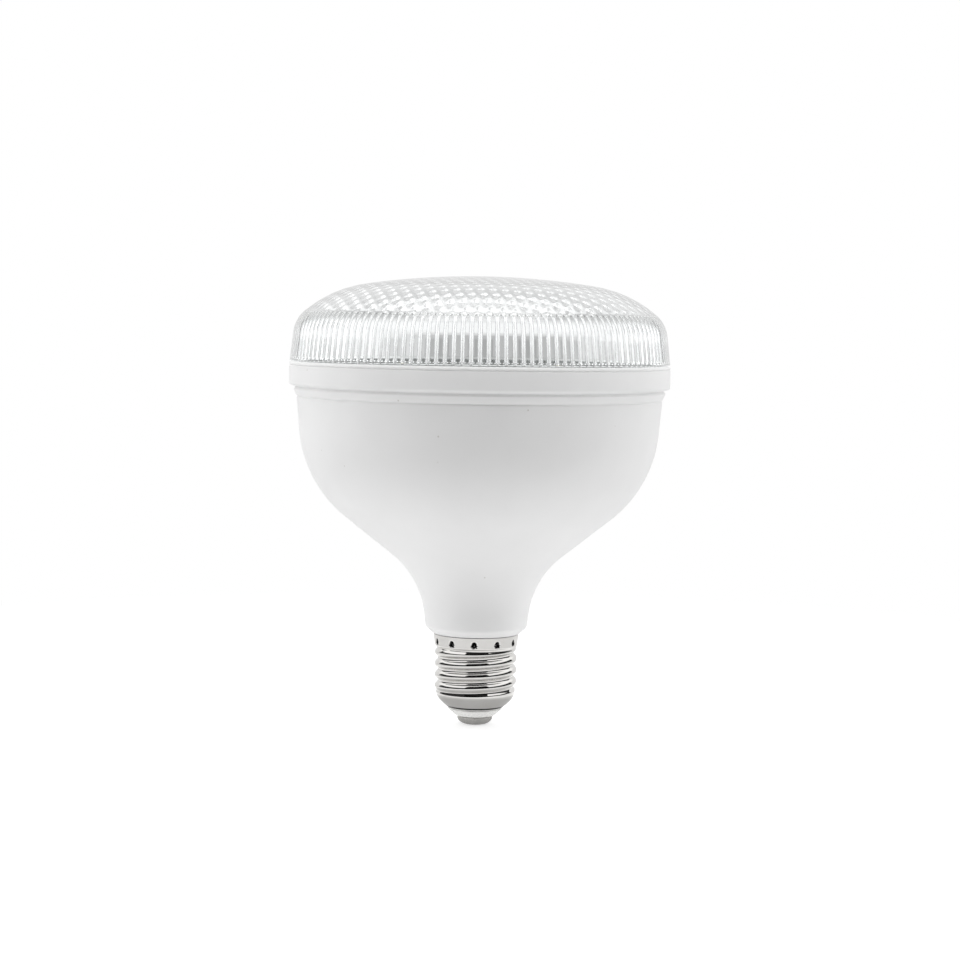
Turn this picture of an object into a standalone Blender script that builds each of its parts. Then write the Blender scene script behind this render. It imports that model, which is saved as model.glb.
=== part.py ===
"""A high-wattage LED bulb with a wide prismatic cover and a 27 mm screw cap.

Metres, +Z up. The origin is the middle of the small flat on the cap's tip contact, and Z is the
bulb's axis. Run with: blender --background --python part.py
"""

import math

import bmesh
import bpy

seat_gap = 0.0003  # between pieces that touch

# Screw cap: a rolled brass sheet, nickel plated
cap_crest_radius = 0.01305
cap_root_radius = 0.0121
cap_pitch = 0.0254 / 7
cap_thread_start = math.radians(48.2)  # how far round the thread a crest stands at height 0
cap_sheet = 0.00035
cap_collar_radius = 0.01315
cap_mouth_radius = 0.0135
cap_lip_radius = 0.00895
cap_lip_z = 0.0057
cap_shoulder_z = 0.0104
cap_thread_top_z = 0.0247
cap_collar_z = 0.0256
cap_top_z = 0.0291
cap_segments = 32
cap_steps_per_turn = 4
contact_segments = 24

# Tip contact and the insulator round it
contact_flat_radius = 0.0024
contact_radius = 0.0056
contact_height = 0.0026
contact_stem_radius = 0.0011
contact_stem_length = 0.0084
insulator_foot_margin = 0.0006
insulator_inset = 0.00025
insulator_height = 0.0067

# Housing: one white moulding from the cap to the rim
rim_radius = 0.06015
rim_wall = 0.00225
rim_top_z = 0.1154
rim_height = 0.0072
rim_chamfer = 0.0003
step_inset = 0.00105
step_height = 0.0013
bevel_inset = 0.0014
bevel_height = 0.0035
side_draft = 0.00235
side_height = 0.02656
belly_fillet = 0.0389
throat_radius = 0.01792
throat_z = 0.04694
throat_fillet = 0.0281
neck_height = 0.0020
neck_fillet = 0.0016
neck_flare = 0.00225
neck_brim = 0.0004
housing_rim_wall = 0.0020
housing_body_wall = 0.0032
spigot_depth = 0.0035
spigot_wall = 0.0020
crimp_groove_depth = 0.0006
crimp_groove_width = 0.0020
crimp_z = 0.0269
housing_segments = 40

# Clear cover: smooth outside, prisms inside
cover_height = 0.02676
cover_edge_inset = 0.00015
cover_wall = 0.0014  # behind a groove, where it is thinnest
cover_lean = 0.0010
cover_draft = math.radians(6.5)
crown_radius = 0.240
shoulder_radius = 0.0389
shoulder_turn = math.radians(40)
fillet_radius = 0.0105
skirt_depth = 0.0046
skirt_wall = 0.0016
ledge_height = 0.0005
prism_height = 0.0008
flute_count = 144
flute_end_turn = math.radians(41)
diamond_count = 72  # round each ring, so two flutes to a diamond
diamond_rings = 10
diamond_step = 0.905  # radius of each ring as a share of the one outside it
diamond_start_turn = math.radians(36)
cover_segments = 36

# Heat sink cup and the board of light sources on it
cup_sheet = 0.0012
cup_recess = 0.0093
cup_depth = 0.0200
board_margin = 0.0036
board_thickness = 0.0016
wire_hole_radius = 0.0026
package_side = 0.0030
package_height = 0.0007
package_rings = ((0.0130, 6), (0.0270, 10), (0.0420, 14))
screw_circle_radius = 0.0345
screw_count = 3
screw_turn = math.radians(30)
screw_head_radius = 0.0027
screw_head_height = 0.0016
screw_shank_radius = 0.0014
screw_length = 0.0070
terminal_size = (0.0060, 0.0056, 0.0034)

# Driver board, standing in the neck, and what it carries
driver_thickness = 0.0016
driver_foot_z = 0.0335
driver_widening_z = 0.0500
driver_shoulder_z = 0.0600
driver_top_z = 0.0960
driver_half_width = 0.0230
component_margin = 0.0020
transformer_width = 0.0190
transformer_depth = 0.0080
transformer_height = 0.0200
transformer_leg = 0.0035
winding_depth = 0.0150
winding_bevel = 0.0008
bulk_capacitor_radius = 0.0063
bulk_capacitor_length = 0.0200
output_capacitor_radius = 0.0050
output_capacitor_length = 0.0160
choke_radius = 0.0042
choke_length = 0.0090
film_capacitor_size = (0.0110, 0.0060, 0.0100)
bridge_size = (0.0070, 0.0028, 0.0060)
chip_size = (0.0050, 0.0016, 0.0040)
fuse_size = (0.0034, 0.0034, 0.0080)
lead_radius = 0.0005
lead_offset = 0.0050
lead_bend = 0.0050


# Places that follow from the sizes
contact_stem_top_z = contact_height + contact_stem_length
neck_foot_radius = cap_mouth_radius + neck_brim
neck_foot_z = cap_top_z + seat_gap
neck_radius = neck_foot_radius + neck_flare
neck_z = neck_foot_z + neck_height
rim_socket_radius = rim_radius - rim_wall
rim_base_z = rim_top_z - rim_height
step_top_radius = rim_radius - step_inset
step_top_z = rim_base_z - step_height
step_foot_radius = step_top_radius - bevel_inset
step_foot_z = step_top_z - bevel_height
belly_radius = step_foot_radius - side_draft
belly_z = step_foot_z - side_height
spigot_radius = cap_collar_radius - cap_sheet - seat_gap
spigot_foot_z = cap_top_z - spigot_depth
cup_top_z = rim_top_z - cup_recess
cup_foot_z = cup_top_z - cup_depth
board_z = cup_top_z + seat_gap
board_top_z = board_z + board_thickness
package_z = board_top_z + seat_gap
cover_edge_z = rim_top_z + seat_gap
cover_edge_radius = rim_radius - cover_edge_inset
cover_wall_top_radius = cover_edge_radius - cover_lean
cover_top_z = cover_edge_z + cover_height
skirt_foot_z = cover_edge_z - skirt_depth
socket_floor_z = skirt_foot_z - seat_gap


def material(name, colour, roughness, metallic=0.0, transmission=0.0):
    made = bpy.data.materials.new(name)
    made.use_nodes = True
    shader = made.node_tree.nodes["Principled BSDF"]
    shader.inputs["Base Color"].default_value = (*colour, 1.0)
    shader.inputs["Roughness"].default_value = roughness
    shader.inputs["Metallic"].default_value = metallic
    shader.inputs["Transmission Weight"].default_value = transmission
    made.diffuse_color = (*colour, 1.0)
    return made


def finish(name, bm, surface, sharp_angle=35):
    """Makes the object of a bmesh, faces outward and shaded smooth up to the sharp angle."""
    bmesh.ops.recalc_face_normals(bm, faces=bm.faces)
    mesh = bpy.data.meshes.new(name)
    bm.to_mesh(mesh)
    bm.free()
    mesh.shade_smooth()
    mesh.set_sharp_from_angle(angle=math.radians(sharp_angle))
    mesh.materials.append(surface)
    made = bpy.data.objects.new(name, mesh)
    bpy.context.scene.collection.objects.link(made)
    return made


def rounded(corners):
    """The line through (r, z, fillet radius, steps) corners, each fillet an arc of that many steps."""
    points = [corners[0]]
    for before, corner, after in zip(corners, corners[1:], corners[2:]):
        x, y, fillet, steps = corner
        to_before = math.atan2(before[1] - y, before[0] - x)
        to_after = math.atan2(after[1] - y, after[0] - x)
        turn = (to_after - to_before + math.pi) % (2 * math.pi) - math.pi
        middle = to_before + turn / 2
        reach = fillet / math.sin(abs(turn) / 2)
        centre = (x + reach * math.cos(middle), y + reach * math.sin(middle))
        sweep = math.copysign(math.pi - abs(turn), -turn)
        start = middle + math.pi - sweep / 2
        for step in range(steps + 1):
            angle = start + sweep * step / steps
            points.append((centre[0] + fillet * math.cos(angle), centre[1] + fillet * math.sin(angle)))
    points.append(corners[-1])
    return points


def inset(line, distance):
    """The line moved to its left by the distance, point by point."""
    moved = []
    for index, (x, y) in enumerate(line):
        before = line[max(index - 1, 0)]
        after = line[min(index + 1, len(line) - 1)]
        length = math.hypot(after[0] - before[0], after[1] - before[1])
        moved.append((x - (after[1] - before[1]) / length * distance, y + (after[0] - before[0]) / length * distance))
    return moved


def turned(name, outline, surface, segments, sharp_angle=35):
    """A solid of revolution about Z from a closed outline of (r, z) points."""
    bm = bmesh.new()
    corners = [bm.verts.new((r, 0, z)) for r, z in outline]
    edges = [bm.edges.new(pair) for pair in zip(corners, corners[1:] + corners[:1])]
    bmesh.ops.spin(
        bm, geom=corners + edges, cent=(0, 0, 0), axis=(0, 0, 1), angle=2 * math.pi, steps=segments, use_merge=True
    )
    bmesh.ops.remove_doubles(bm, verts=bm.verts, dist=1e-6)
    lone = [edge for edge in bm.edges if not edge.link_faces]
    bmesh.ops.delete(bm, geom=lone, context="EDGES")
    return finish(name, bm, surface, sharp_angle)


def block(name, size, centre, surface, bevel=0.0):
    """A box with its edges rounded by the bevel."""
    bm = bmesh.new()
    bmesh.ops.create_cube(bm, size=1.0)
    bmesh.ops.scale(bm, vec=size, verts=bm.verts)
    if bevel:
        bmesh.ops.bevel(bm, geom=bm.edges, offset=bevel, segments=1, affect="EDGES")
    made = finish(name, bm, surface)
    made.location = centre
    return made


def ring(bm, segments, place):
    """A closed row of vertices round Z. place(index, angle) gives each one's radius and height."""
    row = []
    for index in range(segments):
        angle = 2 * math.pi * index / segments
        radius, height = place(index, angle)
        row.append(bm.verts.new((radius * math.cos(angle), radius * math.sin(angle), height)))
    return row


def join_rings(bm, coarse, fine):
    """Faces between two rings, the second with a whole number of vertices for each one of the first."""
    share = len(fine) // len(coarse)
    for index, corner in enumerate(coarse):
        others = [fine[(index * share + step) % len(fine)] for step in range(share + 1)]
        bm.faces.new([corner, *others, coarse[(index + 1) % len(coarse)]])


def housing_outer():
    """The housing's outside from the foot of the step to the foot of the neck."""
    return rounded(
        [
            (step_foot_radius, step_foot_z),
            (belly_radius, belly_z, belly_fillet, 5),
            (throat_radius, throat_z, throat_fillet, 4),
            (neck_radius, neck_z, neck_fillet, 2),
            (neck_foot_radius, neck_foot_z),
        ]
    )


def side_radius(z):
    """The housing's straight side, carried on upwards inside the rim."""
    slope = (step_foot_radius - belly_radius) / (step_foot_z - belly_z)
    return belly_radius + slope * (z - belly_z)


def make_housing(surface):
    outer = housing_outer()
    outside = [
        (rim_radius - rim_chamfer, rim_top_z),
        (rim_radius, rim_top_z - rim_chamfer),
        (rim_radius, rim_base_z),
        (step_top_radius + rim_chamfer, step_top_z + rim_chamfer),
        (step_top_radius, step_top_z),
        *outer,
        (spigot_radius, neck_foot_z),
        (spigot_radius, crimp_z + crimp_groove_width / 2),
        (spigot_radius - crimp_groove_depth, crimp_z),
        (spigot_radius, crimp_z - crimp_groove_width / 2),
        (spigot_radius, spigot_foot_z),
        (spigot_radius - spigot_wall, spigot_foot_z),
        (spigot_radius - spigot_wall, neck_foot_z + housing_body_wall),
    ]
    shelf_z = cup_foot_z - seat_gap
    walls = inset(outer, -housing_body_wall)
    below_shelf = [point for point in walls[::2] if neck_z < point[1] < shelf_z - housing_body_wall]
    inside = [
        *reversed(below_shelf),
        (side_radius(shelf_z) - housing_body_wall, shelf_z),
        (side_radius(shelf_z) - housing_rim_wall, shelf_z),
        (side_radius(socket_floor_z) - housing_rim_wall, socket_floor_z),
        (rim_socket_radius, socket_floor_z),
        (rim_socket_radius, rim_top_z),
    ]
    return turned("housing", outside + inside, surface, housing_segments)


def neck_bore_radius():
    """The narrowest part of the housing's bore at the driver board's foot."""
    return neck_radius - housing_body_wall


def cover_point(turn, depth):
    """Radius and height on the cover at the given slope from level, that deep under its outside."""
    crown_end = math.asin(
        (
            cover_wall_top_radius
            - shoulder_radius * math.sin(shoulder_turn)
            - fillet_radius * (math.cos(cover_draft) - math.sin(shoulder_turn))
        )
        / (crown_radius - shoulder_radius)
    )
    radius, height, start = 0.0, cover_top_z - depth, 0.0
    for bend, end in (
        (crown_radius, crown_end),
        (shoulder_radius, shoulder_turn),
        (fillet_radius, math.pi / 2 - cover_draft),
    ):
        stop = min(turn, end)
        radius += (bend - depth) * (math.sin(stop) - math.sin(start))
        height -= (bend - depth) * (math.cos(start) - math.cos(stop))
        start = stop
        if turn <= end:
            break
    return radius, height


def turn_at_radius(radius):
    """The slope where the cover's outside has that radius, found by halving."""
    low, high = 0.0, math.pi / 2 - cover_draft
    for _ in range(40):
        middle = (low + high) / 2
        if cover_point(middle, 0.0)[0] < radius:
            low = middle
        else:
            high = middle
    return (low + high) / 2


def make_cover(surface):
    bm = bmesh.new()
    wall_turn = math.pi / 2 - cover_draft
    fillet_turns = [shoulder_turn + (wall_turn - shoulder_turn) * step / 3 for step in range(3, -1, -1)]
    shoulder_foot = cover_point(shoulder_turn, 0.0)[0]
    dome_turns = [turn_at_radius(shoulder_foot * share) for share in (0.9, 0.76, 0.56, 0.3)]

    outside = [ring(bm, cover_segments, lambda i, a: (cover_edge_radius, cover_edge_z))]
    for turn in fillet_turns + dome_turns:
        outside.append(ring(bm, cover_segments, lambda i, a, t=turn: cover_point(t, 0.0)))
    for lower, upper in zip(outside, outside[1:]):
        join_rings(bm, lower, upper)
    top = bm.verts.new((0, 0, cover_top_z))
    for index, corner in enumerate(outside[-1]):
        bm.faces.new([corner, outside[-1][(index + 1) % cover_segments], top])

    skirt_radius = rim_socket_radius - seat_gap
    ledge_z = cover_edge_z + ledge_height
    skirt = [
        (skirt_radius, cover_edge_z),
        (skirt_radius, skirt_foot_z),
        (skirt_radius - skirt_wall, skirt_foot_z),
        (skirt_radius - skirt_wall, ledge_z),
    ]
    last = outside[0]
    for place in skirt:
        row = ring(bm, cover_segments, lambda i, a, p=place: p)
        join_rings(bm, last, row)
        last = row

    # Flutes: ridges and grooves by turns up the wall and over the fillet
    groove_edge = cover_edge_radius - cover_wall
    flutes = [ring(bm, 2 * flute_count, lambda i, a: (groove_edge - prism_height * (i % 2), ledge_z))]
    for share in (0.0, 0.5, 1.0):
        turn = wall_turn + (flute_end_turn - wall_turn) * share
        flutes.append(
            ring(bm, 2 * flute_count, lambda i, a, t=turn: cover_point(t, cover_wall + prism_height * (i % 2)))
        )
    join_rings(bm, last, flutes[0])
    for lower, upper in zip(flutes, flutes[1:]):
        join_rings(bm, lower, upper)

    # Diamonds: pyramids in staggered rings, each split along its valleys
    start_radius = cover_point(diamond_start_turn, 0.0)[0]
    rows = []
    for number in range(diamond_rings):
        turn = turn_at_radius(start_radius * diamond_step**number)
        rows.append(
            ring(
                bm,
                2 * diamond_count,
                lambda i, a, t=turn, n=number: cover_point(t, cover_wall + prism_height * ((i + n) % 2)),
            )
        )
    join_rings(bm, rows[0], flutes[-1])
    for number, (outer, inner) in enumerate(zip(rows, rows[1:])):
        for index in range(2 * diamond_count):
            after = (index + 1) % (2 * diamond_count)
            if (index + number) % 2:
                bm.faces.new([outer[index], outer[after], inner[after]])
                bm.faces.new([outer[index], inner[after], inner[index]])
                continue
            bm.faces.new([outer[index], outer[after], inner[index]])
            bm.faces.new([outer[after], inner[after], inner[index]])
    middle = bm.verts.new((0, 0, cover_top_z - cover_wall))
    for index, corner in enumerate(rows[-1]):
        bm.faces.new([corner, rows[-1][(index + 1) % (2 * diamond_count)], middle])
    return finish("cover", bm, surface, sharp_angle=20)


def cap_radius(z, angle):
    """The outside of the cap's sheet: a rolled thread that runs out into the shoulder and the collar."""
    mean = (cap_crest_radius + cap_root_radius) / 2
    rise = (cap_crest_radius - cap_root_radius) / 2
    if z <= cap_shoulder_z:
        share = (z - cap_lip_z) / (cap_shoulder_z - cap_lip_z)
        return cap_lip_radius + (mean - cap_lip_radius) * math.sin(share * math.pi / 2)
    if z >= cap_collar_z:
        flare = (z - cap_collar_z) / (cap_top_z - cap_collar_z)
        return cap_collar_radius + (cap_mouth_radius - cap_collar_radius) * flare
    fade = min(1.0, (z - cap_shoulder_z) / (cap_pitch / 2), (cap_collar_z - z) / (cap_pitch / 2))
    swell = max(0.0, (z - cap_thread_top_z) / (cap_collar_z - cap_thread_top_z))
    wave = math.cos(2 * math.pi * z / cap_pitch - angle + cap_thread_start)
    return mean + (cap_collar_radius - mean) * swell + rise * fade * wave


def make_cap_shell(surface):
    """The sheet's outside from the lip up, then its inside back down, closed at both ends."""
    bm = bmesh.new()
    shoulder = [cap_lip_z + (cap_shoulder_z - cap_lip_z) * step / 4 for step in range(4)]
    step = cap_pitch / cap_steps_per_turn
    thread = [cap_shoulder_z + step * number for number in range(int((cap_thread_top_z - cap_shoulder_z) / step) + 1)]
    heights = shoulder + thread + [cap_collar_z, cap_top_z]
    outside = [ring(bm, cap_segments, lambda i, a, z=z: (cap_radius(z, a), z)) for z in heights]
    inside = [ring(bm, cap_segments, lambda i, a, z=z: (cap_radius(z, a) - cap_sheet, z)) for z in heights]
    loop = outside + inside[::-1]
    for lower, upper in zip(loop, loop[1:] + loop[:1]):
        join_rings(bm, lower, upper)
    return finish("cap_shell", bm, surface, sharp_angle=50)


def make_insulator(surface):
    """White insulator that fills the cap's foot, held behind the sheet's lip."""
    throat = cap_lip_radius - cap_sheet - seat_gap
    foot_z = contact_height + seat_gap
    foot_radius = contact_radius + insulator_foot_margin
    brim_radius = cap_lip_radius - insulator_inset
    shelf_z = cap_lip_z + (cap_shoulder_z - cap_lip_z) / 2
    held = cap_radius(shelf_z, 0.0) - cap_sheet - 2 * seat_gap
    hole = contact_stem_radius + seat_gap
    outline = [
        (hole, foot_z),
        (foot_radius, foot_z),
        (brim_radius, cap_lip_z - 2 * seat_gap),
        (brim_radius, cap_lip_z - seat_gap),
        (throat, cap_lip_z - seat_gap),
        (held, shelf_z),
        (held, foot_z + insulator_height),
        (hole, foot_z + insulator_height),
    ]
    return turned("cap_insulator", outline, surface, contact_segments)


def make_contact(surface):
    """Domed tip contact with a small flat, and the stem that holds it in the insulator."""
    steps = 4
    dome = []
    for step in range(steps + 1):
        angle = math.pi / 2 * step / steps
        dome.append(
            (
                contact_flat_radius + (contact_radius - contact_flat_radius) * math.sin(angle),
                contact_height * 0.85 * (1 - math.cos(angle)),
            )
        )
    outline = [
        (0.0, 0.0),
        *dome,
        (contact_radius, contact_height),
        (contact_stem_radius, contact_height),
        (contact_stem_radius, contact_stem_top_z),
        (0.0, contact_stem_top_z),
    ]
    return turned("centre_contact", outline, surface, contact_segments)


def drilled(target, cutters):
    """Cuts each cutter out of the target, and leaves the cutters as hidden helpers."""
    for cutter in cutters:
        cutter.hide_render = True
        cutter.display_type = "WIRE"
        cut = target.modifiers.new(cutter.name, "BOOLEAN")
        cut.operation = "DIFFERENCE"
        cut.object = cutter


def screw_places():
    for number in range(screw_count):
        angle = screw_turn + 2 * math.pi * number / screw_count
        yield screw_circle_radius * math.cos(angle), screw_circle_radius * math.sin(angle)


def make_cup(surface):
    """Pressed aluminium cup that lies against the housing's wall and stands on its shelf."""
    reach = housing_rim_wall + seat_gap
    top = side_radius(cup_top_z) - reach
    foot = side_radius(cup_foot_z) - reach
    hole = wire_hole_radius + seat_gap
    outline = [
        (hole, cup_top_z),
        (top - cup_sheet, cup_top_z),
        (top, cup_top_z - cup_sheet),
        (foot, cup_foot_z),
        (foot - cup_sheet, cup_foot_z),
        (top - cup_sheet, cup_top_z - 2 * cup_sheet),
        (top - 2 * cup_sheet, cup_top_z - cup_sheet),
        (hole, cup_top_z - cup_sheet),
    ]
    return turned("heat_sink_cup", outline, surface, housing_segments)


def make_board(surface):
    """Round aluminium-core board with a hole in its middle for the driver's leads."""
    board_radius = side_radius(cup_top_z) - housing_rim_wall - board_margin
    outline = [
        (wire_hole_radius, board_z),
        (board_radius, board_z),
        (board_radius, board_top_z),
        (wire_hole_radius, board_top_z),
    ]
    return turned("led_board", outline, surface, housing_segments)


def make_screws(surface, board, cup):
    hole_radius = screw_shank_radius + seat_gap
    for number, (x, y) in enumerate(screw_places(), start=1):
        outline = [
            (0.0, package_z + screw_head_height),
            (screw_head_radius * 0.6, package_z + screw_head_height),
            (screw_head_radius, package_z + screw_head_height * 0.4),
            (screw_head_radius, package_z),
            (screw_shank_radius, package_z),
            (screw_shank_radius, package_z - screw_length),
            (0.0, package_z - screw_length),
        ]
        screw = turned(f"board_screw_{number}", outline, surface, 12)
        screw.location = (x, y, 0)
        bottom = cup_top_z - 3 * cup_sheet
        drill = [(0.0, bottom), (hole_radius, bottom), (hole_radius, package_z), (0.0, package_z)]
        cutter = turned(f"screw_drill_{number}", drill, surface, 12)
        cutter.location = (x, y, 0)
        drilled(board, [cutter])
        drilled(cup, [cutter])


def make_packages(surface):
    """Light source packages in rings, each turned to face the axis."""
    size = (package_side, package_side, package_height)
    number = 0
    for radius, count in package_rings:
        for place in range(count):
            number += 1
            angle = 2 * math.pi * place / count
            centre = (radius * math.cos(angle), radius * math.sin(angle), package_z + package_height / 2)
            package = block(f"led_{number:02d}", size, centre, surface)
            package.rotation_euler.z = angle


def make_driver_board(surface):
    """Flat board, narrow in the neck and wide in the belly, wedged by its edges in the neck."""
    half_thickness = driver_thickness / 2
    foot_half = math.sqrt((neck_bore_radius() - seat_gap) ** 2 - half_thickness**2)
    outline = [
        (-foot_half, driver_foot_z),
        (foot_half, driver_foot_z),
        (foot_half, driver_widening_z),
        (driver_half_width, driver_shoulder_z),
        (driver_half_width, driver_top_z),
        (-driver_half_width, driver_top_z),
        (-driver_half_width, driver_shoulder_z),
        (-foot_half, driver_widening_z),
    ]
    bm = bmesh.new()
    corners = [bm.verts.new((x, -half_thickness, z)) for x, z in outline]
    face = bm.faces.new(corners)
    pushed = bmesh.ops.extrude_face_region(bm, geom=[face])["geom"]
    moved = [item for item in pushed if isinstance(item, bmesh.types.BMVert)]
    bmesh.ops.translate(bm, vec=(0, driver_thickness, 0), verts=moved)
    return finish("driver_board", bm, surface)


def on_driver(name, size, x, z, surface, side=1):
    """A box-shaped component that sits on one face of the driver board."""
    y = side * (driver_thickness / 2 + seat_gap + size[1] / 2)
    return block(name, size, (x, y, z), surface)


def upright_can(name, radius, length, x, z, surface):
    """A round component on the driver board, its axis along Y."""
    rim = radius / 8
    outline = [
        (0.0, 0.0),
        (radius, 0.0),
        (radius, length - rim),
        (radius - rim, length),
        (0.0, length),
    ]
    made = turned(name, outline, surface, 16)
    made.rotation_euler.x = -math.pi / 2
    made.location = (x, driver_thickness / 2 + seat_gap, z)
    return made


def make_transformer(core_surface, winding_surface):
    """A ferrite frame round a wound bobbin that shows on both sides of it."""
    depth = max(winding_depth, transformer_depth)
    middle = (
        0.0,
        driver_thickness / 2 + seat_gap + depth / 2,
        driver_shoulder_z + component_margin + transformer_height / 2,
    )
    size = (transformer_width, transformer_depth, transformer_height)
    core = block("transformer_core", size, middle, core_surface)
    window_width = transformer_width - 2 * transformer_leg
    window_height = transformer_height - 2 * transformer_leg
    window = block("core_window", (window_width, 2 * depth, window_height), middle, core_surface)
    drilled(core, [window])
    wound = (window_width - 2 * seat_gap, winding_depth, window_height - 2 * seat_gap)
    block("transformer_winding", wound, middle, winding_surface, winding_bevel)


def make_components(sleeve, dark, film, resin, ceramic):
    """What else the driver board carries, laid out from its edges and the transformer."""
    top_z = driver_top_z - component_margin
    edge_x = driver_half_width - component_margin
    beside_core_x = transformer_width / 2 + component_margin / 2
    bulk_z = top_z - bulk_capacitor_radius
    film_z = bulk_z - bulk_capacitor_radius - component_margin - film_capacitor_size[2] / 2
    choke_z = driver_shoulder_z - component_margin - choke_radius
    bridge_z = choke_z - choke_radius - component_margin - bridge_size[2] / 2
    core_z = driver_shoulder_z + component_margin + transformer_height / 2
    fuse_z = driver_foot_z + component_margin + fuse_size[2] / 2
    upright_can(
        "bulk_capacitor", bulk_capacitor_radius, bulk_capacitor_length, edge_x - bulk_capacitor_radius, bulk_z, sleeve
    )
    upright_can(
        "output_capacitor",
        output_capacitor_radius,
        output_capacitor_length,
        output_capacitor_radius - edge_x,
        top_z - output_capacitor_radius,
        sleeve,
    )
    upright_can("input_choke", choke_radius, choke_length, 0.0, choke_z, dark)
    on_driver("film_capacitor", film_capacitor_size, beside_core_x + film_capacitor_size[0] / 2, film_z, film)
    on_driver("bridge_rectifier", bridge_size, 0.0, bridge_z, resin)
    on_driver("controller_chip", chip_size, 0.0, core_z, resin, side=-1)
    on_driver("fuse_resistor", fuse_size, 0.0, fuse_z, ceramic, side=-1)


def lead(name, points, surface):
    """An insulated lead: a round tube through its points, smoothed by a spline."""
    guide = bpy.data.curves.new(name + "_guide", "CURVE")
    guide.dimensions = "3D"
    smooth = guide.splines.new("BEZIER")
    smooth.bezier_points.add(len(points) - 1)
    for knot, place in zip(smooth.bezier_points, points):
        knot.co = place
        knot.handle_left_type = "AUTO"
        knot.handle_right_type = "AUTO"
    smooth.resolution_u = 2
    guide.bevel_depth = lead_radius
    guide.bevel_resolution = 1
    guide.use_fill_caps = True
    guide.materials.append(surface)
    made = bpy.data.objects.new(name, guide)
    bpy.context.scene.collection.objects.link(made)
    return made


def make_leads(red, black, white):
    face = driver_thickness / 2 + seat_gap + lead_radius
    pair = (wire_hole_radius - seat_gap) / 2
    entry_x = wire_hole_radius + seat_gap
    entry_z = package_z + terminal_size[2] / 2
    for name, side, surface in (("output_lead_red", 1, red), ("output_lead_black", -1, black)):
        points = [
            (-lead_offset * side, side * face, driver_top_z - 2 * lead_bend),
            (-lead_offset * side, side * face, driver_top_z - lead_bend / 2),
            (0.0, side * pair, cup_top_z - lead_bend),
            (0.0, side * pair, board_top_z),
            (lead_radius, side * pair, entry_z - lead_radius),
            (entry_x, side * pair, entry_z),
        ]
        lead(name, points, surface)
    start_z = driver_foot_z + lead_bend
    contact_end_z = contact_stem_top_z + seat_gap
    to_contact = [
        (-lead_offset, face, start_z),
        (-lead_offset, face, spigot_foot_z + lead_bend),
        (0.0, 0.0, contact_end_z + lead_bend),
        (0.0, 0.0, contact_end_z),
    ]
    lead("input_lead_contact", to_contact, white)
    shell_end = cap_root_radius - cap_sheet - 2 * seat_gap
    to_shell = [
        (lead_offset, face, start_z),
        (lead_offset, face, spigot_foot_z + lead_bend / 2),
        ((lead_offset + shell_end) / 2, face / 2, spigot_foot_z - lead_bend / 2),
        (shell_end, 0.0, spigot_foot_z - lead_bend),
    ]
    lead("input_lead_shell", to_shell, white)


def main():
    for old in list(bpy.data.objects):
        bpy.data.objects.remove(old, do_unlink=True)

    white_moulding = material("white moulding", (0.82, 0.82, 0.82), 0.38)
    clear_plastic = material("clear plastic", (0.95, 0.96, 0.97), 0.05, transmission=0.9)
    nickel = material("nickel plate", (0.72, 0.70, 0.66), 0.18, metallic=1.0)
    tin = material("tinned brass", (0.70, 0.70, 0.68), 0.30, metallic=1.0)
    insulator_white = material("insulator white", (0.86, 0.86, 0.84), 0.45)
    aluminium = material("pressed aluminium", (0.78, 0.79, 0.80), 0.35, metallic=1.0)
    mask_white = material("white board mask", (0.86, 0.87, 0.86), 0.45)
    phosphor = material("phosphor", (0.88, 0.76, 0.30), 0.50)
    steel = material("zinc plated steel", (0.60, 0.61, 0.62), 0.30, metallic=1.0)
    fibreglass = material("green board", (0.10, 0.30, 0.16), 0.50)
    ferrite = material("ferrite", (0.07, 0.07, 0.08), 0.55)
    tape = material("yellow tape", (0.80, 0.62, 0.12), 0.45)
    sleeve = material("dark sleeve", (0.06, 0.07, 0.10), 0.40)
    film = material("red coating", (0.55, 0.12, 0.08), 0.40)
    resin = material("black resin", (0.03, 0.03, 0.03), 0.45)
    ceramic = material("grey ceramic", (0.55, 0.60, 0.58), 0.55)
    red_sheath = material("red sheath", (0.62, 0.05, 0.04), 0.45)
    black_sheath = material("black sheath", (0.03, 0.03, 0.03), 0.45)
    white_sheath = material("white sheath", (0.80, 0.80, 0.78), 0.45)

    make_contact(tin)
    make_insulator(insulator_white)
    make_cap_shell(nickel)
    make_housing(white_moulding)
    make_cover(clear_plastic)

    cup = make_cup(aluminium)
    board = make_board(mask_white)
    make_screws(steel, board, cup)
    make_packages(phosphor)
    terminal_x = wire_hole_radius + 2 * seat_gap + terminal_size[0] / 2
    terminal_z = package_z + terminal_size[2] / 2
    block("wire_terminal", terminal_size, (terminal_x, 0.0, terminal_z), insulator_white, bevel=0.0003)

    make_driver_board(fibreglass)
    make_transformer(ferrite, tape)
    make_components(sleeve, ferrite, film, resin, ceramic)
    make_leads(red_sheath, black_sheath, white_sheath)


main()
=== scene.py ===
# %% [markdown]
# A wide LED bulb with a clear prismatic cover, a white flared housing and a nickel-plated screw cap.
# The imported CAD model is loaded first. Each visible piece is then modelled over its CAD node in
# finer detail, and the pieces that stay as they are get a finish of their own.

import math

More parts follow.
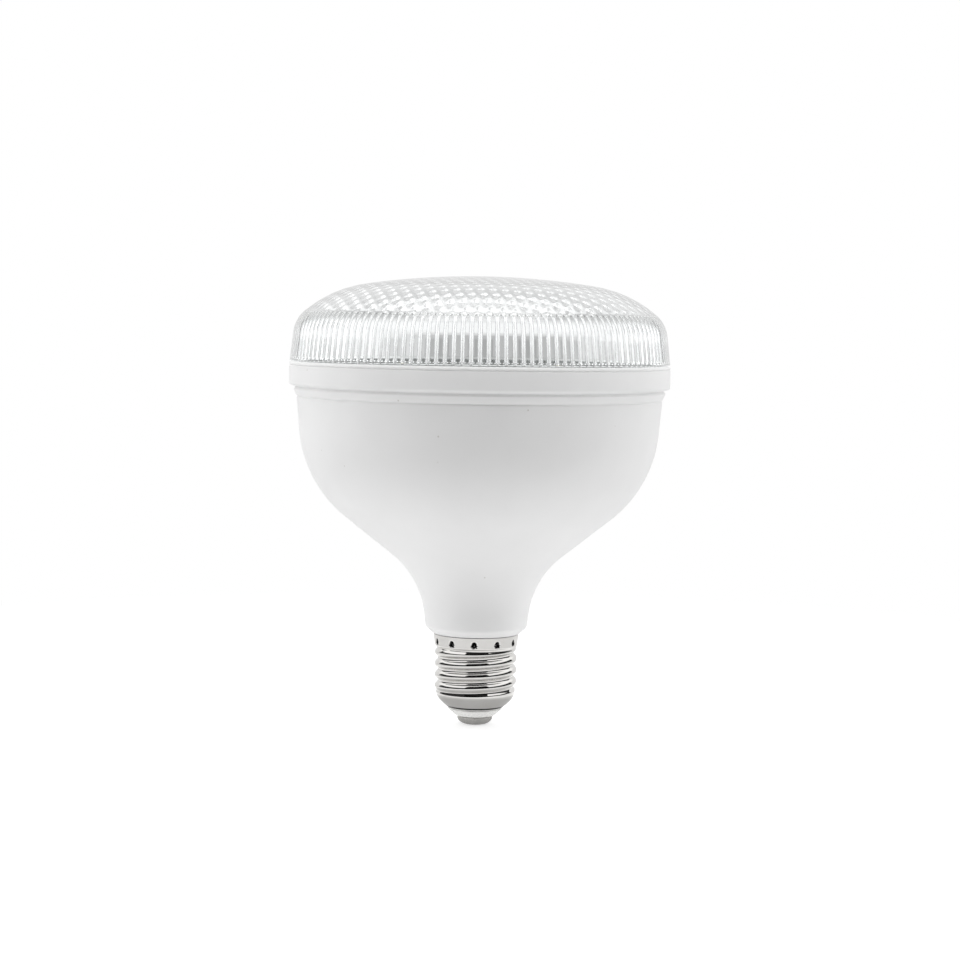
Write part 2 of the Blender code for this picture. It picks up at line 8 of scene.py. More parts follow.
import bmesh
import bpy
from mathutils import Matrix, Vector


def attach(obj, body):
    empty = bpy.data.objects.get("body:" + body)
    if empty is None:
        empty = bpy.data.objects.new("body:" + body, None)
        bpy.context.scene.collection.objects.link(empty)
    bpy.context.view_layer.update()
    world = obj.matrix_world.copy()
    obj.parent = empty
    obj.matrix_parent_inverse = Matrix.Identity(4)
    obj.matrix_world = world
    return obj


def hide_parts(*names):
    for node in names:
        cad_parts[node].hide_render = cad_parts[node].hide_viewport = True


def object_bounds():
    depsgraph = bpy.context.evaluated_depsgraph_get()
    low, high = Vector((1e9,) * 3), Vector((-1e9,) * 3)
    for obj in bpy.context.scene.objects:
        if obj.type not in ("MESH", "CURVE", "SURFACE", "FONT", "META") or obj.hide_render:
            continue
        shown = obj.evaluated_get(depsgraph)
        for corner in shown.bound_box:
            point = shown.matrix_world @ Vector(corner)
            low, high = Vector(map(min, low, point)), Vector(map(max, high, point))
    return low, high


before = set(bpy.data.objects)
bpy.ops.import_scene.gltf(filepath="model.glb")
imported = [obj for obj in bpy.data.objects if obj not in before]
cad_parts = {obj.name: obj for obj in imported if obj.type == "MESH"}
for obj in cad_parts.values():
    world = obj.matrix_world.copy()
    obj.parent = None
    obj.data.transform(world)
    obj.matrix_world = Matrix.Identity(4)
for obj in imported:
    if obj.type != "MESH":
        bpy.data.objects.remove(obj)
scene = bpy.context.scene
cad_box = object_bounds()
mm = 0.001
cad_size = [round((high - low) / mm, 2) for low, high in zip(*cad_box)]
print(len(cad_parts), "CAD nodes,", cad_size, "mm")

# %% [markdown]
# The photograph looks at the bulb from the front, level with the cover's wall and down by four
# degrees. The camera is placed before anything is modelled, so that each piece can be compared with
# the photograph as soon as it is there. The bulb leans by one degree in the picture. The camera is
# rolled for that, so the bulb itself stays upright.

# %% Camera
camera_distance = 713 * mm
camera_height = 127.92 * mm
camera_offset = 0.54 * mm
camera_pitch = math.radians(4.0)
camera_roll = math.radians(0.85)
focal_length = 84.4
sensor_width = 36

camera_lens = bpy.data.cameras.new("camera")
camera_lens.sensor_width = sensor_width
camera_lens.lens = focal_length
camera = bpy.data.objects.new("camera", camera_lens)
scene.collection.objects.link(camera)
camera.matrix_world = (
    Matrix.Translation((camera_offset, -camera_distance, camera_height))
    @ Matrix.Rotation(math.pi / 2 - camera_pitch, 4, "X")
    @ Matrix.Rotation(camera_roll, 4, "Z")
)
scene.camera = camera
print("camera at", [round(value, 4) for value in camera.matrix_world.translation])

# %% [markdown]
# Most pieces of a bulb are round. By hand, such a piece starts as one vertex, is extruded along its
# outline in the XZ plane and is then spun round Z. The helpers below do that with Blender's own
# operators. They could build the mesh from a formula instead, but the outline drawn point by point
# is what one would do on screen, and it is easy to change.

# %% Helpers for modelling as by hand
def start_alone():
    """Leaves edit mode and deselects everything, because operators act on all that is selected."""
    if bpy.context.object and bpy.context.object.mode == "EDIT":
        bpy.ops.object.mode_set(mode="OBJECT")
    bpy.ops.object.select_all(action="DESELECT")


def choose(piece):
    """Selects one piece and nothing else, and makes it the active one."""
    start_alone()
    piece.select_set(True)
    bpy.context.view_layer.objects.active = piece


def edit(piece):
    """Opens one piece in edit mode, with nothing else selected."""
    choose(piece)
    bpy.ops.object.mode_set(mode="EDIT")


def spun_piece(name, outline, segments):
    """Draws an outline of (radius, height) points, spins it round Z and closes its seams."""
    start_alone()
    bpy.ops.mesh.primitive_plane_add(size=1 * mm)
    piece = bpy.context.object
    piece.name = piece.data.name = name
    edit(piece)
    bpy.ops.mesh.select_mode(type="VERT")
    bpy.ops.mesh.select_all(action="SELECT")
    bpy.ops.mesh.merge(type="CENTER")
    bpy.ops.transform.translate(value=(outline[0][0], 0, outline[0][1]))
    for before, after in zip(outline, outline[1:]):
        step = (after[0] - before[0], 0, after[1] - before[1])
        bpy.ops.mesh.extrude_vertices_move(TRANSFORM_OT_translate={"value": step})
    bpy.ops.mesh.select_all(action="SELECT")
    bpy.ops.mesh.spin(steps=segments, angle=2 * math.pi, center=(0, 0, 0), axis=(0, 0, 1))
    bpy.ops.mesh.select_all(action="SELECT")
    bpy.ops.mesh.remove_doubles(threshold=0.001 * mm)
    bpy.ops.mesh.normals_make_consistent(inside=False)
    bpy.ops.object.mode_set(mode="OBJECT")
    print(name, len(piece.data.polygons), "faces")
    return piece


def select_faces(piece, wanted):
    """In edit mode, selects the faces for which wanted(face) is true, and nothing else."""
    bpy.ops.mesh.select_mode(type="FACE")
    bpy.ops.mesh.select_all(action="DESELECT")
    opened = bmesh.from_edit_mesh(piece.data)
    for face in opened.faces:
        face.select_set(bool(wanted(face)))
    bmesh.update_edit_mesh(piece.data)


def shade(piece, sharp_angle):
    """Shades a piece smooth, except over edges sharper than the angle in degrees."""
    choose(piece)
    bpy.ops.object.shade_smooth_by_angle(angle=math.radians(sharp_angle))


def block(size, centre):
    """A box of that size round its centre, from a scaled cube."""
    start_alone()
    bpy.ops.mesh.primitive_cube_add(size=1.0, location=centre)
    made = bpy.context.object
    made.scale = size
    bpy.ops.object.transform_apply(location=True, rotation=True, scale=True)
    return made


def modify(piece, name, kind, **settings):
    """Gives a piece a modifier with these settings, and applies it."""
    modifier = piece.modifiers.new(name, kind)
    for label, value in settings.items():
        setattr(modifier, label, value)
    choose(piece)
    bpy.ops.object.modifier_apply(modifier=modifier.name)


def placed_copy(piece, name, placement):
    """A copy with a mesh of its own. The mesh is moved, so that the copy stays at the origin."""
    own_mesh = piece.data.copy()
    own_mesh.name = name
    own_mesh.transform(placement)
    made = bpy.data.objects.new(name, own_mesh)
    scene.collection.objects.link(made)
    return made


def fit(piece, finish, slot, *nodes):
    """Gives a piece its finish, and puts it in place of the CAD nodes that it stands for."""
    piece.data.materials.clear()
    piece.data.materials.append(finish)
    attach(piece, "root")
    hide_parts(*nodes)
    print(piece.name, "stands for", ", ".join(nodes))


# %% [markdown]
# Real mouldings and turned parts have rounded corners. This helper takes an outline's corners, each
# with its fillet radius, and puts an arc of short steps in place of each corner. A Bevel modifier
# could round them too, but it can't give each corner its own large radius as easily.

# %% Outlines with rounded corners
def in_mm(*points):
    """The points of an outline, given in millimetres."""
    return [(radius * mm, height * mm) for radius, height in points]


def rounded(corners):
    """The line through (radius, height, fillet radius, steps) corners. The two ends have no fillet."""
    points = [corners[0]]
    for before, corner, after in zip(corners, corners[1:], corners[2:]):
        x, y, fillet, steps = corner
        to_before = math.atan2(before[1] - y, before[0] - x)
        to_after = math.atan2(after[1] - y, after[0] - x)
        turn = (to_after - to_before + math.pi) % (2 * math.pi) - math.pi
        middle = to_before + turn / 2
        reach = fillet / math.sin(abs(turn) / 2)
        centre = (x + reach * math.cos(middle), y + reach * math.sin(middle))
        sweep = math.copysign(math.pi - abs(turn), -turn)
        start = middle + math.pi - sweep / 2
        for step in range(steps + 1):
            angle = start + sweep * step / steps
            points.append((centre[0] + fillet * math.cos(angle), centre[1] + fillet * math.sin(angle)))
    points.append(corners[-1])
    return points


def moved_in(line, distance):
    """The line moved to its left by the distance, for the inner face of a wall."""
    moved = []
    for index, (x, y) in enumerate(line):
        before = line[max(index - 1, 0)]
        after = line[min(index + 1, len(line) - 1)]
        along, up = after[0] - before[0], after[1] - before[1]
        length = math.hypot(along, up)
        moved.append((x - up / length * distance, y + along / length * distance))
    return moved


# %% [markdown]
# The effects that several finishes share come first, as shader node groups. Each puts out only masks
# and heights, and every material gives it its own values. The first is what any moulded or painted
# surface shows from close by: a fine orange peel, a slow change of tone, and a few dust specks.

# %% Shared effect: grain of a moulded surface
def new_group(name, inputs, outputs):
    """An empty shader node group with number sockets, and a Vector input."""
    group = bpy.data.node_groups.new(name, "ShaderNodeTree")
    group.interface.new_socket("Vector", in_out="INPUT", socket_type="NodeSocketVector")
    for label, value in inputs:
        socket = group.interface.new_socket(label, in_out="INPUT", socket_type="NodeSocketFloat")
        socket.default_value = value
    for label in outputs:
        group.interface.new_socket(label, in_out="OUTPUT", socket_type="NodeSocketFloat")
    entry = group.nodes.new("NodeGroupInput")
    exit_node = group.nodes.new("NodeGroupOutput")
    return group, entry, exit_node


def feed(tree, value, socket):
    """Links a socket to the one that the value comes from, or sets it to a number or a colour."""
    if isinstance(value, bpy.types.NodeSocket):
        tree.links.new(value, socket)
    else:
        socket.default_value = (*value, 1.0) if isinstance(value, tuple) else value


def math_node(tree, operation, first, second=0.5, clamp=False):
    """A Math node. Each operand is a number or the socket that it comes from."""
    node = tree.nodes.new("ShaderNodeMath")
    node.operation = operation
    node.use_clamp = clamp
    feed(tree, first, node.inputs[0])
    feed(tree, second, node.inputs[1])
    return node.outputs[0]


def times(tree, first, second):
    """The product of two operands."""
    return math_node(tree, "MULTIPLY", first, second)


def noise_node(tree, vector, scale, detail=2.0, roughness=0.5):
    """A Noise Texture. The scale is a number or the socket that it comes from."""
    node = tree.nodes.new("ShaderNodeTexNoise")
    values = {"Vector": vector, "Scale": scale, "Detail": detail, "Roughness": roughness}
    for label, value in values.items():
        feed(tree, value, node.inputs[label])
    return node.outputs["Fac"]


tone_scale = 45.0
speck_size = 0.12
grain_inputs = [("Grain Scale", 900.0), ("Speck Scale", 420.0), ("Speck Share", 0.04)]
grain_group, entry, grain_out = new_group("moulding grain", grain_inputs, ["Tone", "Height", "Specks"])
grain_place = entry.outputs["Vector"]
peel = noise_node(grain_group, grain_place, entry.outputs["Grain Scale"], detail=3.0, roughness=0.55)
tone = noise_node(grain_group, grain_place, tone_scale)
specks = grain_group.nodes.new("ShaderNodeTexVoronoi")
grain_group.links.new(grain_place, specks.inputs["Vector"])
grain_group.links.new(entry.outputs["Speck Scale"], specks.inputs["Scale"])
near_point = math_node(grain_group, "LESS_THAN", specks.outputs["Distance"], speck_size)
cell_value = grain_group.nodes.new("ShaderNodeSeparateColor")
grain_group.links.new(specks.outputs["Color"], cell_value.inputs["Color"])
chosen_cell = math_node(grain_group, "LESS_THAN", cell_value.outputs["Red"], entry.outputs["Speck Share"])
speck_mask = times(grain_group, near_point, chosen_cell)
grain_group.links.new(tone, grain_out.inputs["Tone"])
grain_group.links.new(peel, grain_out.inputs["Height"])
grain_group.links.new(speck_mask, grain_out.inputs["Specks"])
print("group", grain_group.name, "with", len(grain_group.nodes), "nodes")

# %% [markdown]
# The second effect is for metal that was turned, rolled or drawn about the axis. Its marks run round
# the piece, so the noise reads only the radius and the height of a point, stretched very thin. Smudges
# and a few hair scratches lie over the marks. An image of scratches could be used too, but it would
# need a UV map, and its scale would be fixed.

# %% Shared effect: marks on turned metal
def axes_of(tree, vector):
    """The X, Y and Z outputs of a Separate XYZ node."""
    node = tree.nodes.new("ShaderNodeSeparateXYZ")
    tree.links.new(vector, node.inputs["Vector"])
    return node.outputs


scratch_threshold = 0.995
marks_inputs = [("Marks Scale", 3000.0), ("Smudge Scale", 120.0)]
marks_group, entry, marks_out = new_group("turning marks", marks_inputs, ["Marks", "Smudges", "Scratches"])
marks_place = entry.outputs["Vector"]
parts = axes_of(marks_group, marks_place)
square_x = math_node(marks_group, "POWER", parts["X"], 2.0)
square_y = math_node(marks_group, "POWER", parts["Y"], 2.0)
radius = math_node(marks_group, "SQRT", math_node(marks_group, "ADD", square_x, square_y))
ring_place = marks_group.nodes.new("ShaderNodeCombineXYZ")
marks_group.links.new(radius, ring_place.inputs["X"])
marks_group.links.new(parts["Z"], ring_place.inputs["Z"])
around = ring_place.outputs["Vector"]
ring_marks = noise_node(marks_group, around, entry.outputs["Marks Scale"], detail=4.0, roughness=0.7)
smudges = noise_node(marks_group, marks_place, entry.outputs["Smudge Scale"], detail=3.0, roughness=0.6)
hair = marks_group.nodes.new("ShaderNodeTexWave")
for label, value in {"Vector": marks_place, "Scale": 160.0, "Distortion": 9.0, "Detail": 2.0}.items():
    feed(marks_group, value, hair.inputs[label])
hair_lines = math_node(marks_group, "GREATER_THAN", hair.outputs["Fac"], scratch_threshold)
marks_group.links.new(ring_marks, marks_out.inputs["Marks"])
marks_group.links.new(smudges, marks_out.inputs["Smudges"])
marks_group.links.new(hair_lines, marks_out.inputs["Scratches"])
print("group", marks_group.name, "with", len(marks_group.nodes), "nodes")

# %% Helpers for materials
def new_material(name, colour, roughness, metallic=0.0):
    """A Principled material with its plain values, and a Texture Coordinate node."""
    made = bpy.data.materials.new(name)
    made.use_nodes = True
    made.diffuse_color = (*colour, 1.0)
    shader = made.node_tree.nodes["Principled BSDF"]
    shader.inputs["Base Color"].default_value = (*colour, 1.0)
    shader.inputs["Roughness"].default_value = roughness
    shader.inputs["Metallic"].default_value = metallic
    place = made.node_tree.nodes.new("ShaderNodeTexCoord")
    return made, made.node_tree, shader, place.outputs["Object"]


def add_group(tree, group, vector, **values):
    """Places a shared effect in a material, with this material's values."""
    node = tree.nodes.new("ShaderNodeGroup")
    node.node_tree = group
    tree.links.new(vector, node.inputs["Vector"])
    for label, value in values.items():
        node.inputs[label.replace("_", " ").title()].default_value = value
    return node.outputs


def spread(tree, mask, low, high, from_low=0.3, from_high=0.7):
    """Maps a mask onto a range of values."""
    node = tree.nodes.new("ShaderNodeMapRange")
    node.inputs["From Min"].default_value = from_low
    node.inputs["From Max"].default_value = from_high
    node.inputs["To Min"].default_value = low
    node.inputs["To Max"].default_value = high
    tree.links.new(mask, node.inputs["Value"])
    return node.outputs["Result"]


def rising(tree, value, low, high):
    """A mask that rises from 0 to 1 between two values."""
    return spread(tree, value, 0.0, 1.0, low, high)


def falling(tree, value, low, high):
    """A mask that falls from 1 to 0 between two values."""
    return spread(tree, value, 1.0, 0.0, low, high)


def blend_colours(tree, mask, first, second):
    """Mixes two colours by a mask. Each colour is three numbers or a socket."""
    node = tree.nodes.new("ShaderNodeMix")
    node.data_type = "RGBA"
    tree.links.new(mask, node.inputs["Factor"])
    feed(tree, first, node.inputs[6])
    feed(tree, second, node.inputs[7])
    return node.outputs[2]


def chosen(tree, mask, usual, special):
    """The special value where the mask is 1, and the usual one where it is 0."""
    node = tree.nodes.new("ShaderNodeMix")
    tree.links.new(mask, node.inputs["Factor"])
    feed(tree, usual, node.inputs["A"])
    feed(tree, special, node.inputs["B"])
    return node.outputs["Result"]


def mix_shaders(tree, mask, usual, special):
    """Mixes the outputs of two shader nodes by a mask."""
    node = tree.nodes.new("ShaderNodeMixShader")
    tree.links.new(mask, node.inputs["Fac"])
    tree.links.new(usual, node.inputs[1])
    tree.links.new(special, node.inputs[2])
    return node.outputs["Shader"]


def painted(tree, name):
    """A mask that the mesh carries, as a number at each of its vertices."""
    node = tree.nodes.new("ShaderNodeAttribute")
    node.attribute_name = name
    return node.outputs["Fac"]


def bump(tree, shader, height, strength, distance):
    """Feeds a height to the shader's Normal."""
    node = tree.nodes.new("ShaderNodeBump")
    node.inputs["Strength"].default_value = strength
    node.inputs["Distance"].default_value = distance
    tree.links.new(height, node.inputs["Height"])
    tree.links.new(node.outputs["Normal"], shader.inputs["Normal"])


def moulded_finish(name, colour, dark, roughness, grain=900.0, depth=0.02, speck=None, speck_share=0.03):
    """Moulded plastic, rubber or resin: slow change of tone, fine peel and a few specks."""
    made, tree, shader, vector = new_material(name, colour, roughness)
    effect = add_group(tree, grain_group, vector, grain_scale=grain, speck_share=speck_share)
    toned = blend_colours(tree, spread(tree, effect["Tone"], 0.0, 1.0), colour, dark)
    if speck:
        toned = blend_colours(tree, effect["Specks"], toned, speck)
    tree.links.new(toned, shader.inputs["Base Color"])
    uneven = spread(tree, effect["Height"], roughness - 0.05, roughness + 0.05)
    tree.links.new(uneven, shader.inputs["Roughness"])
    bump(tree, shader, effect["Height"], 0.25, depth * mm)
    return made


def turned_finish(name, colour, dark, roughness, marks=3000.0, depth=0.004):
    """Turned, rolled or pressed metal: ring marks, smudges and hair scratches."""
    made, tree, shader, vector = new_material(name, colour, roughness, metallic=1.0)
    effect = add_group(tree, marks_group, vector, marks_scale=marks)
    toned = blend_colours(tree, spread(tree, effect["Smudges"], 0.0, 1.0), colour, dark)
    tree.links.new(toned, shader.inputs["Base Color"])
    smudged = spread(tree, effect["Smudges"], roughness * 0.7, roughness * 1.5)
    scratched = times(tree, effect["Scratches"], 0.12)
    tree.links.new(math_node(tree, "ADD", smudged, scratched), shader.inputs["Roughness"])
    bump(tree, shader, effect["Marks"], 0.2, depth * mm)
    return made


# %% [markdown]
# The housing is one white moulding: a lip under the cover, the rim band with its rounded lower edge,
# a fine step, the straight side, the belly, the concave throat and the neck over the cap. It is
# round all over, so its outline is drawn and spun. The inner face has to be there too, because the
# clear cover lets one see in, and because the wall is what the cap and the cover sit in.

# %% Housing sizes
rim_radius = 60.15 * mm
rim_top = 115.15 * mm
rim_socket = 57.9 * mm
socket_floor = 110.8 * mm
side_top = (57.7 * mm, 103.4 * mm)
belly = (55.35 * mm, 76.84 * mm)
throat = (17.92 * mm, 46.94 * mm)
neck = (16.15 * mm, 31.4 * mm)
neck_foot = (13.9 * mm, 29.4 * mm)
rim_wall = 2.0 * mm
body_wall = 3.2 * mm
cup_shelf = 85.8 * mm


def side_radius(height):
    """Radius of the housing's straight side, carried on upwards inside the rim."""
    slope = (side_top[0] - belly[0]) / (side_top[1] - belly[1])
    return belly[0] + slope * (height - belly[1])


# %% Housing outline
lip_and_band = rounded(
    [
        (rim_socket + 0.2 * mm, rim_top),
        (rim_radius, rim_top, 0.85 * mm, 8),
        (rim_radius, rim_top - 0.95 * mm, 0.08 * mm, 2),
        (rim_radius - 0.4 * mm, rim_top - 1.05 * mm, 0.1 * mm, 2),
        (rim_radius - 0.02 * mm, rim_top - 1.45 * mm, 0.3 * mm, 3),
        (rim_radius, 107.9 * mm, 0.9 * mm, 7),
        (58.0 * mm, 107.2 * mm, 0.15 * mm, 3),
        (58.7 * mm, 106.45 * mm, 0.3 * mm, 5),
        (57.85 * mm, 104.5 * mm, 0.2 * mm, 3),
        (57.45 * mm, 104.15 * mm, 0.15 * mm, 3),
        (57.72 * mm, 103.6 * mm),
    ]
)
side_arcs = [(*belly, 38.9 * mm, 24), (*throat, 28.1 * mm, 18), (*neck, 1.6 * mm, 8)]
outer_side = rounded([side_top, *side_arcs, neck_foot])
spigot = in_mm((12.5, 29.4), (12.5, 28.6), (11.9, 27.6), (12.5, 26.6), (12.5, 25.6), (10.5, 25.6), (10.5, 32.6))
inner_side = moved_in(outer_side, -body_wall)
inner_side = [point for point in inner_side if 34 * mm < point[1] < cup_shelf - 3 * mm]
inner_top = [
    (side_radius(cup_shelf) - body_wall, cup_shelf),
    (side_radius(cup_shelf) - rim_wall, cup_shelf),
    (side_radius(socket_floor) - rim_wall, socket_floor),
    (rim_socket, socket_floor),
    (rim_socket, rim_top - 0.2 * mm),
    (rim_socket + 0.2 * mm, rim_top),
]
housing_outline = lip_and_band + outer_side + spigot + inner_side[::-1] + inner_top
print("housing outline", len(housing_outline), "points")

# %% Housing
housing = spun_piece("housing_shell", housing_outline, 192)
shade(housing, 28)

# %% [markdown]
# The white moulding isn't one flat colour. It is a satin plastic with a fine orange peel, a slow
# change of tone and a few dust specks. The values stay small, because the real surface looks plain
# from a step away.

# %% Housing finish
white_moulding = moulded_finish(
    "white satin moulding",
    (0.86, 0.86, 0.86),
    (0.83, 0.83, 0.83),
    0.42,
    grain=1100.0,
    depth=0.03,
    speck=(0.66, 0.65, 0.63),
    speck_share=0.02,
)
fit(housing, white_moulding, "white_housing", "housing")

# %% [markdown]
# The cover is one clear moulding, smooth outside. Its optics are all inside: upright ribs round the
# wall and over the corner, which end in round feet on a ledge, and a staggered lattice of flat
# cushions under the dome. The outside could be spun like the housing, but hundreds of ribs and
# cushions that follow a curved wall can't be drawn one by one. So this piece is made in code, ring
# after ring of vertices, where a small formula says how thick the wall is at each place. The dome's
# underside is one face, which bisecting planes cut into a grid for the cushions.
#
# The vertices also carry three masks for the finish. "frost" is 1 on the ribs, which are slightly
# matt. "shadow" is 1 round each rib's foot and at the gaps' upper ends, where the finish paints
# shade: the colour turns near black there, in thin arcs and dots.
# "groove" is 1 on the lower part of the gaps between the ribs. Rays that have turned twice and pass
# there are tinted darker: painted shade, in place of the light that real gaps bend away.

# %% Cover sizes
cover_top = 142.46 * mm
cover_edge = 115.45 * mm
cover_edge_radius = 60.0 * mm
cover_wall_top_radius = 59.0 * mm
cover_draft = math.radians(6.5)
wall_turn = math.pi / 2 - cover_draft
crown_radius = 240 * mm
shoulder_radius = 38.9 * mm
shoulder_turn = math.radians(40)
corner_radius = 10.5 * mm
cover_wall = 1.4 * mm
ledge = 115.75 * mm
rib_count = 144
rib_end_turn = math.radians(41)
cushion_pitch = 3.57 * mm
cushion_height = 0.18 * mm
skirt_radius = 57.6 * mm
skirt_inner_radius = 56.0 * mm
skirt_foot = 111.1 * mm


def cover_point(turn, depth):
    """Radius and height on the cover where its slope is turn, that deep under its outside."""
    reach = cover_wall_top_radius - shoulder_radius * math.sin(shoulder_turn)
    reach -= corner_radius * (math.cos(cover_draft) - math.sin(shoulder_turn))
    crown_end = math.asin(reach / (crown_radius - shoulder_radius))
    arcs = ((crown_radius, crown_end), (shoulder_radius, shoulder_turn), (corner_radius, wall_turn))
    radius, height, start = 0.0, cover_top - depth, 0.0
    for bend, end in arcs:
        stop = min(turn, end)
        radius += (bend - depth) * (math.sin(stop) - math.sin(start))
        height -= (bend - depth) * (math.cos(start) - math.cos(stop))
        start = stop
        if turn <= end:
            break
    return radius, height


def turn_at_radius(radius, depth=0.0):
    """The slope where the cover has that radius, so deep under its outside, found by halving."""
    low, high = 0.0, wall_turn
    for _ in range(40):
        middle = (low + high) / 2
        if cover_point(middle, depth)[0] < radius:
            low = middle
        else:
            high = middle
    return (low + high) / 2


wall_top = cover_point(wall_turn, 0.0)
print("cover wall ends at radius and height", [round(value / mm, 2) for value in wall_top], "mm")

# %% Rings of vertices
cover_mesh = bmesh.new()
frost = cover_mesh.verts.layers.float.new("frost")
shadow = cover_mesh.verts.layers.float.new("shadow")
groove = cover_mesh.verts.layers.float.new("groove")


def vertex_at(angle, radius, height):
    """A new vertex of the cover, at an angle round Z."""
    return cover_mesh.verts.new((radius * math.cos(angle), radius * math.sin(angle), height))


def ring(count, radius, height):
    """A closed row of vertices round Z."""
    return [vertex_at(2 * math.pi * number / count, radius, height) for number in range(count)]


def join(coarse, fine):
    """Faces between two rings. The second has a whole number of vertices for each of the first."""
    share = len(fine) // len(coarse)
    for number, corner in enumerate(coarse):
        others = [fine[(number * share + step) % len(fine)] for step in range(share + 1)]
        cover_mesh.faces.new([corner, *others, coarse[(number + 1) % len(coarse)]])


# %% Cover outside, skirt and ledge
outside_count = 288
corner_turns = [wall_turn + (shoulder_turn - wall_turn) * step / 12 for step in range(13)]
shoulder_foot = cover_point(shoulder_turn, 0.0)[0]
dome_shares = (0.95, 0.9, 0.84, 0.78, 0.7, 0.62, 0.52, 0.42, 0.3, 0.2, 0.1)
dome_turns = [turn_at_radius(shoulder_foot * share) for share in dome_shares]
edge_chamfer = ((cover_edge_radius - 0.1 * mm, cover_edge), (cover_edge_radius, cover_edge + 0.12 * mm))
rows = [ring(outside_count, *place) for place in edge_chamfer]
rows += [ring(outside_count, *cover_point(turn, 0.0)) for turn in corner_turns + dome_turns]
for lower, upper in zip(rows, rows[1:]):
    join(lower, upper)
top = cover_mesh.verts.new((0, 0, cover_top))
for number, corner in enumerate(rows[-1]):
    cover_mesh.faces.new([corner, rows[-1][(number + 1) % outside_count], top])

last = rows[0]
for radius, height in (
    (skirt_radius, cover_edge),
    (skirt_radius, skirt_foot),
    (skirt_inner_radius, skirt_foot),
    (skirt_inner_radius, ledge),
):
    row = ring(outside_count, radius, height)
    join(last, row)
    last = row
print("cover outside", len(cover_mesh.faces), "faces")

# %% Ribs
rib_columns = (0.0, 0.10, 0.18, 0.24, 0.28, 0.5, 0.72, 0.76, 0.82, 0.90)
rib_height = 0.6 * mm
rib_pitch = 2 * math.pi * (cover_edge_radius - cover_wall) / rib_count
rib_half = 0.28 * rib_pitch
rib_foot_height = 0.05 * mm
rib_end_rows = (0.0, 0.1, 0.22, 0.36, 0.54, 0.75)
far_off = 1.0  # metres, for a row of vertices with no rib end near it
foot_arc_height = 0.45 * mm
foot_arc_inside = 0.45  # of the rib's half width
groove_end_length = 0.6 * mm
groove_top = 122.5 * mm


def rib_rise(across, above_foot, below_end):
    """How far a rib stands out, for a place across it and its distances from its two round ends."""
    along = max(rib_half - above_foot, rib_half - below_end, 0.0)
    away = math.hypot(across, along) / rib_half
    return rib_height * math.sqrt(max(0.0, 1.0 - away**2))


def rib_ring(base, above_foot, below_end):
    """One ring of rib vertices. base(depth) gives radius and height under the outside."""
    row = []
    for rib in range(rib_count):
        for share in rib_columns:
            across = (share if share <= 0.5 else share - 1.0) * rib_pitch
            rise = rib_rise(across, above_foot, below_end)
            radius, height = base(cover_wall + rise)
            vertex = vertex_at(2 * math.pi * (rib + share) / rib_count, radius, height)
            from_foot = math.hypot(across, rib_half - above_foot) / rib_half
            in_foot_arc = above_foot < foot_arc_height and foot_arc_inside < from_foot <= 1.0
            in_groove_end = share == 0.5 and below_end < groove_end_length
            vertex[frost] = min(1.0, 2.5 * rise / rib_height)
            # Painted shade: the foot arcs and the gaps' upper ends are marked for a near-black colour.
            vertex[shadow] = 1.0 if in_foot_arc or in_groove_end else 0.0
            vertex[groove] = 1.0 if rise == 0 and height < groove_top else 0.0
            row.append(vertex)
    return row


def wall_point(height, depth):
    """Radius and height on the straight wall under the corner."""
    share = (height - cover_edge) / (wall_top[1] - cover_edge)
    return cover_edge_radius + (wall_top[0] - cover_edge_radius) * share - depth, height


rib_foot = ledge + rib_foot_height
straight_foot = rib_end_rows[-1] * mm
wall_heights = [rib_foot + step * mm for step in rib_end_rows]
wall_rise = wall_top[1] - rib_foot - straight_foot
wall_heights += [rib_foot + straight_foot + wall_rise * step / 5 for step in range(1, 5)]
rib_end_length = corner_radius * (wall_turn - rib_end_turn)
rib_rows = [rib_ring(lambda depth: wall_point(ledge, depth), 0.0, far_off)]
for height in wall_heights:
    rib_rows.append(rib_ring(lambda depth: wall_point(height, depth), height - rib_foot, far_off))
for length in [(rib_end_length - straight_foot) * step / 9 for step in range(10)]:
    turn = wall_turn - length / corner_radius
    rib_rows.append(rib_ring(lambda depth: cover_point(turn, depth), far_off, rib_end_length - length))
for length in rib_end_rows[-2::-1]:
    turn = rib_end_turn + length * mm / corner_radius
    rib_rows.append(rib_ring(lambda depth: cover_point(turn, depth), far_off, length * mm))
join(last, rib_rows[0])
for lower, upper in zip(rib_rows, rib_rows[1:]):
    join(lower, upper)
print("ribs", rib_count, "of", round(rib_pitch / mm, 2), "mm pitch")

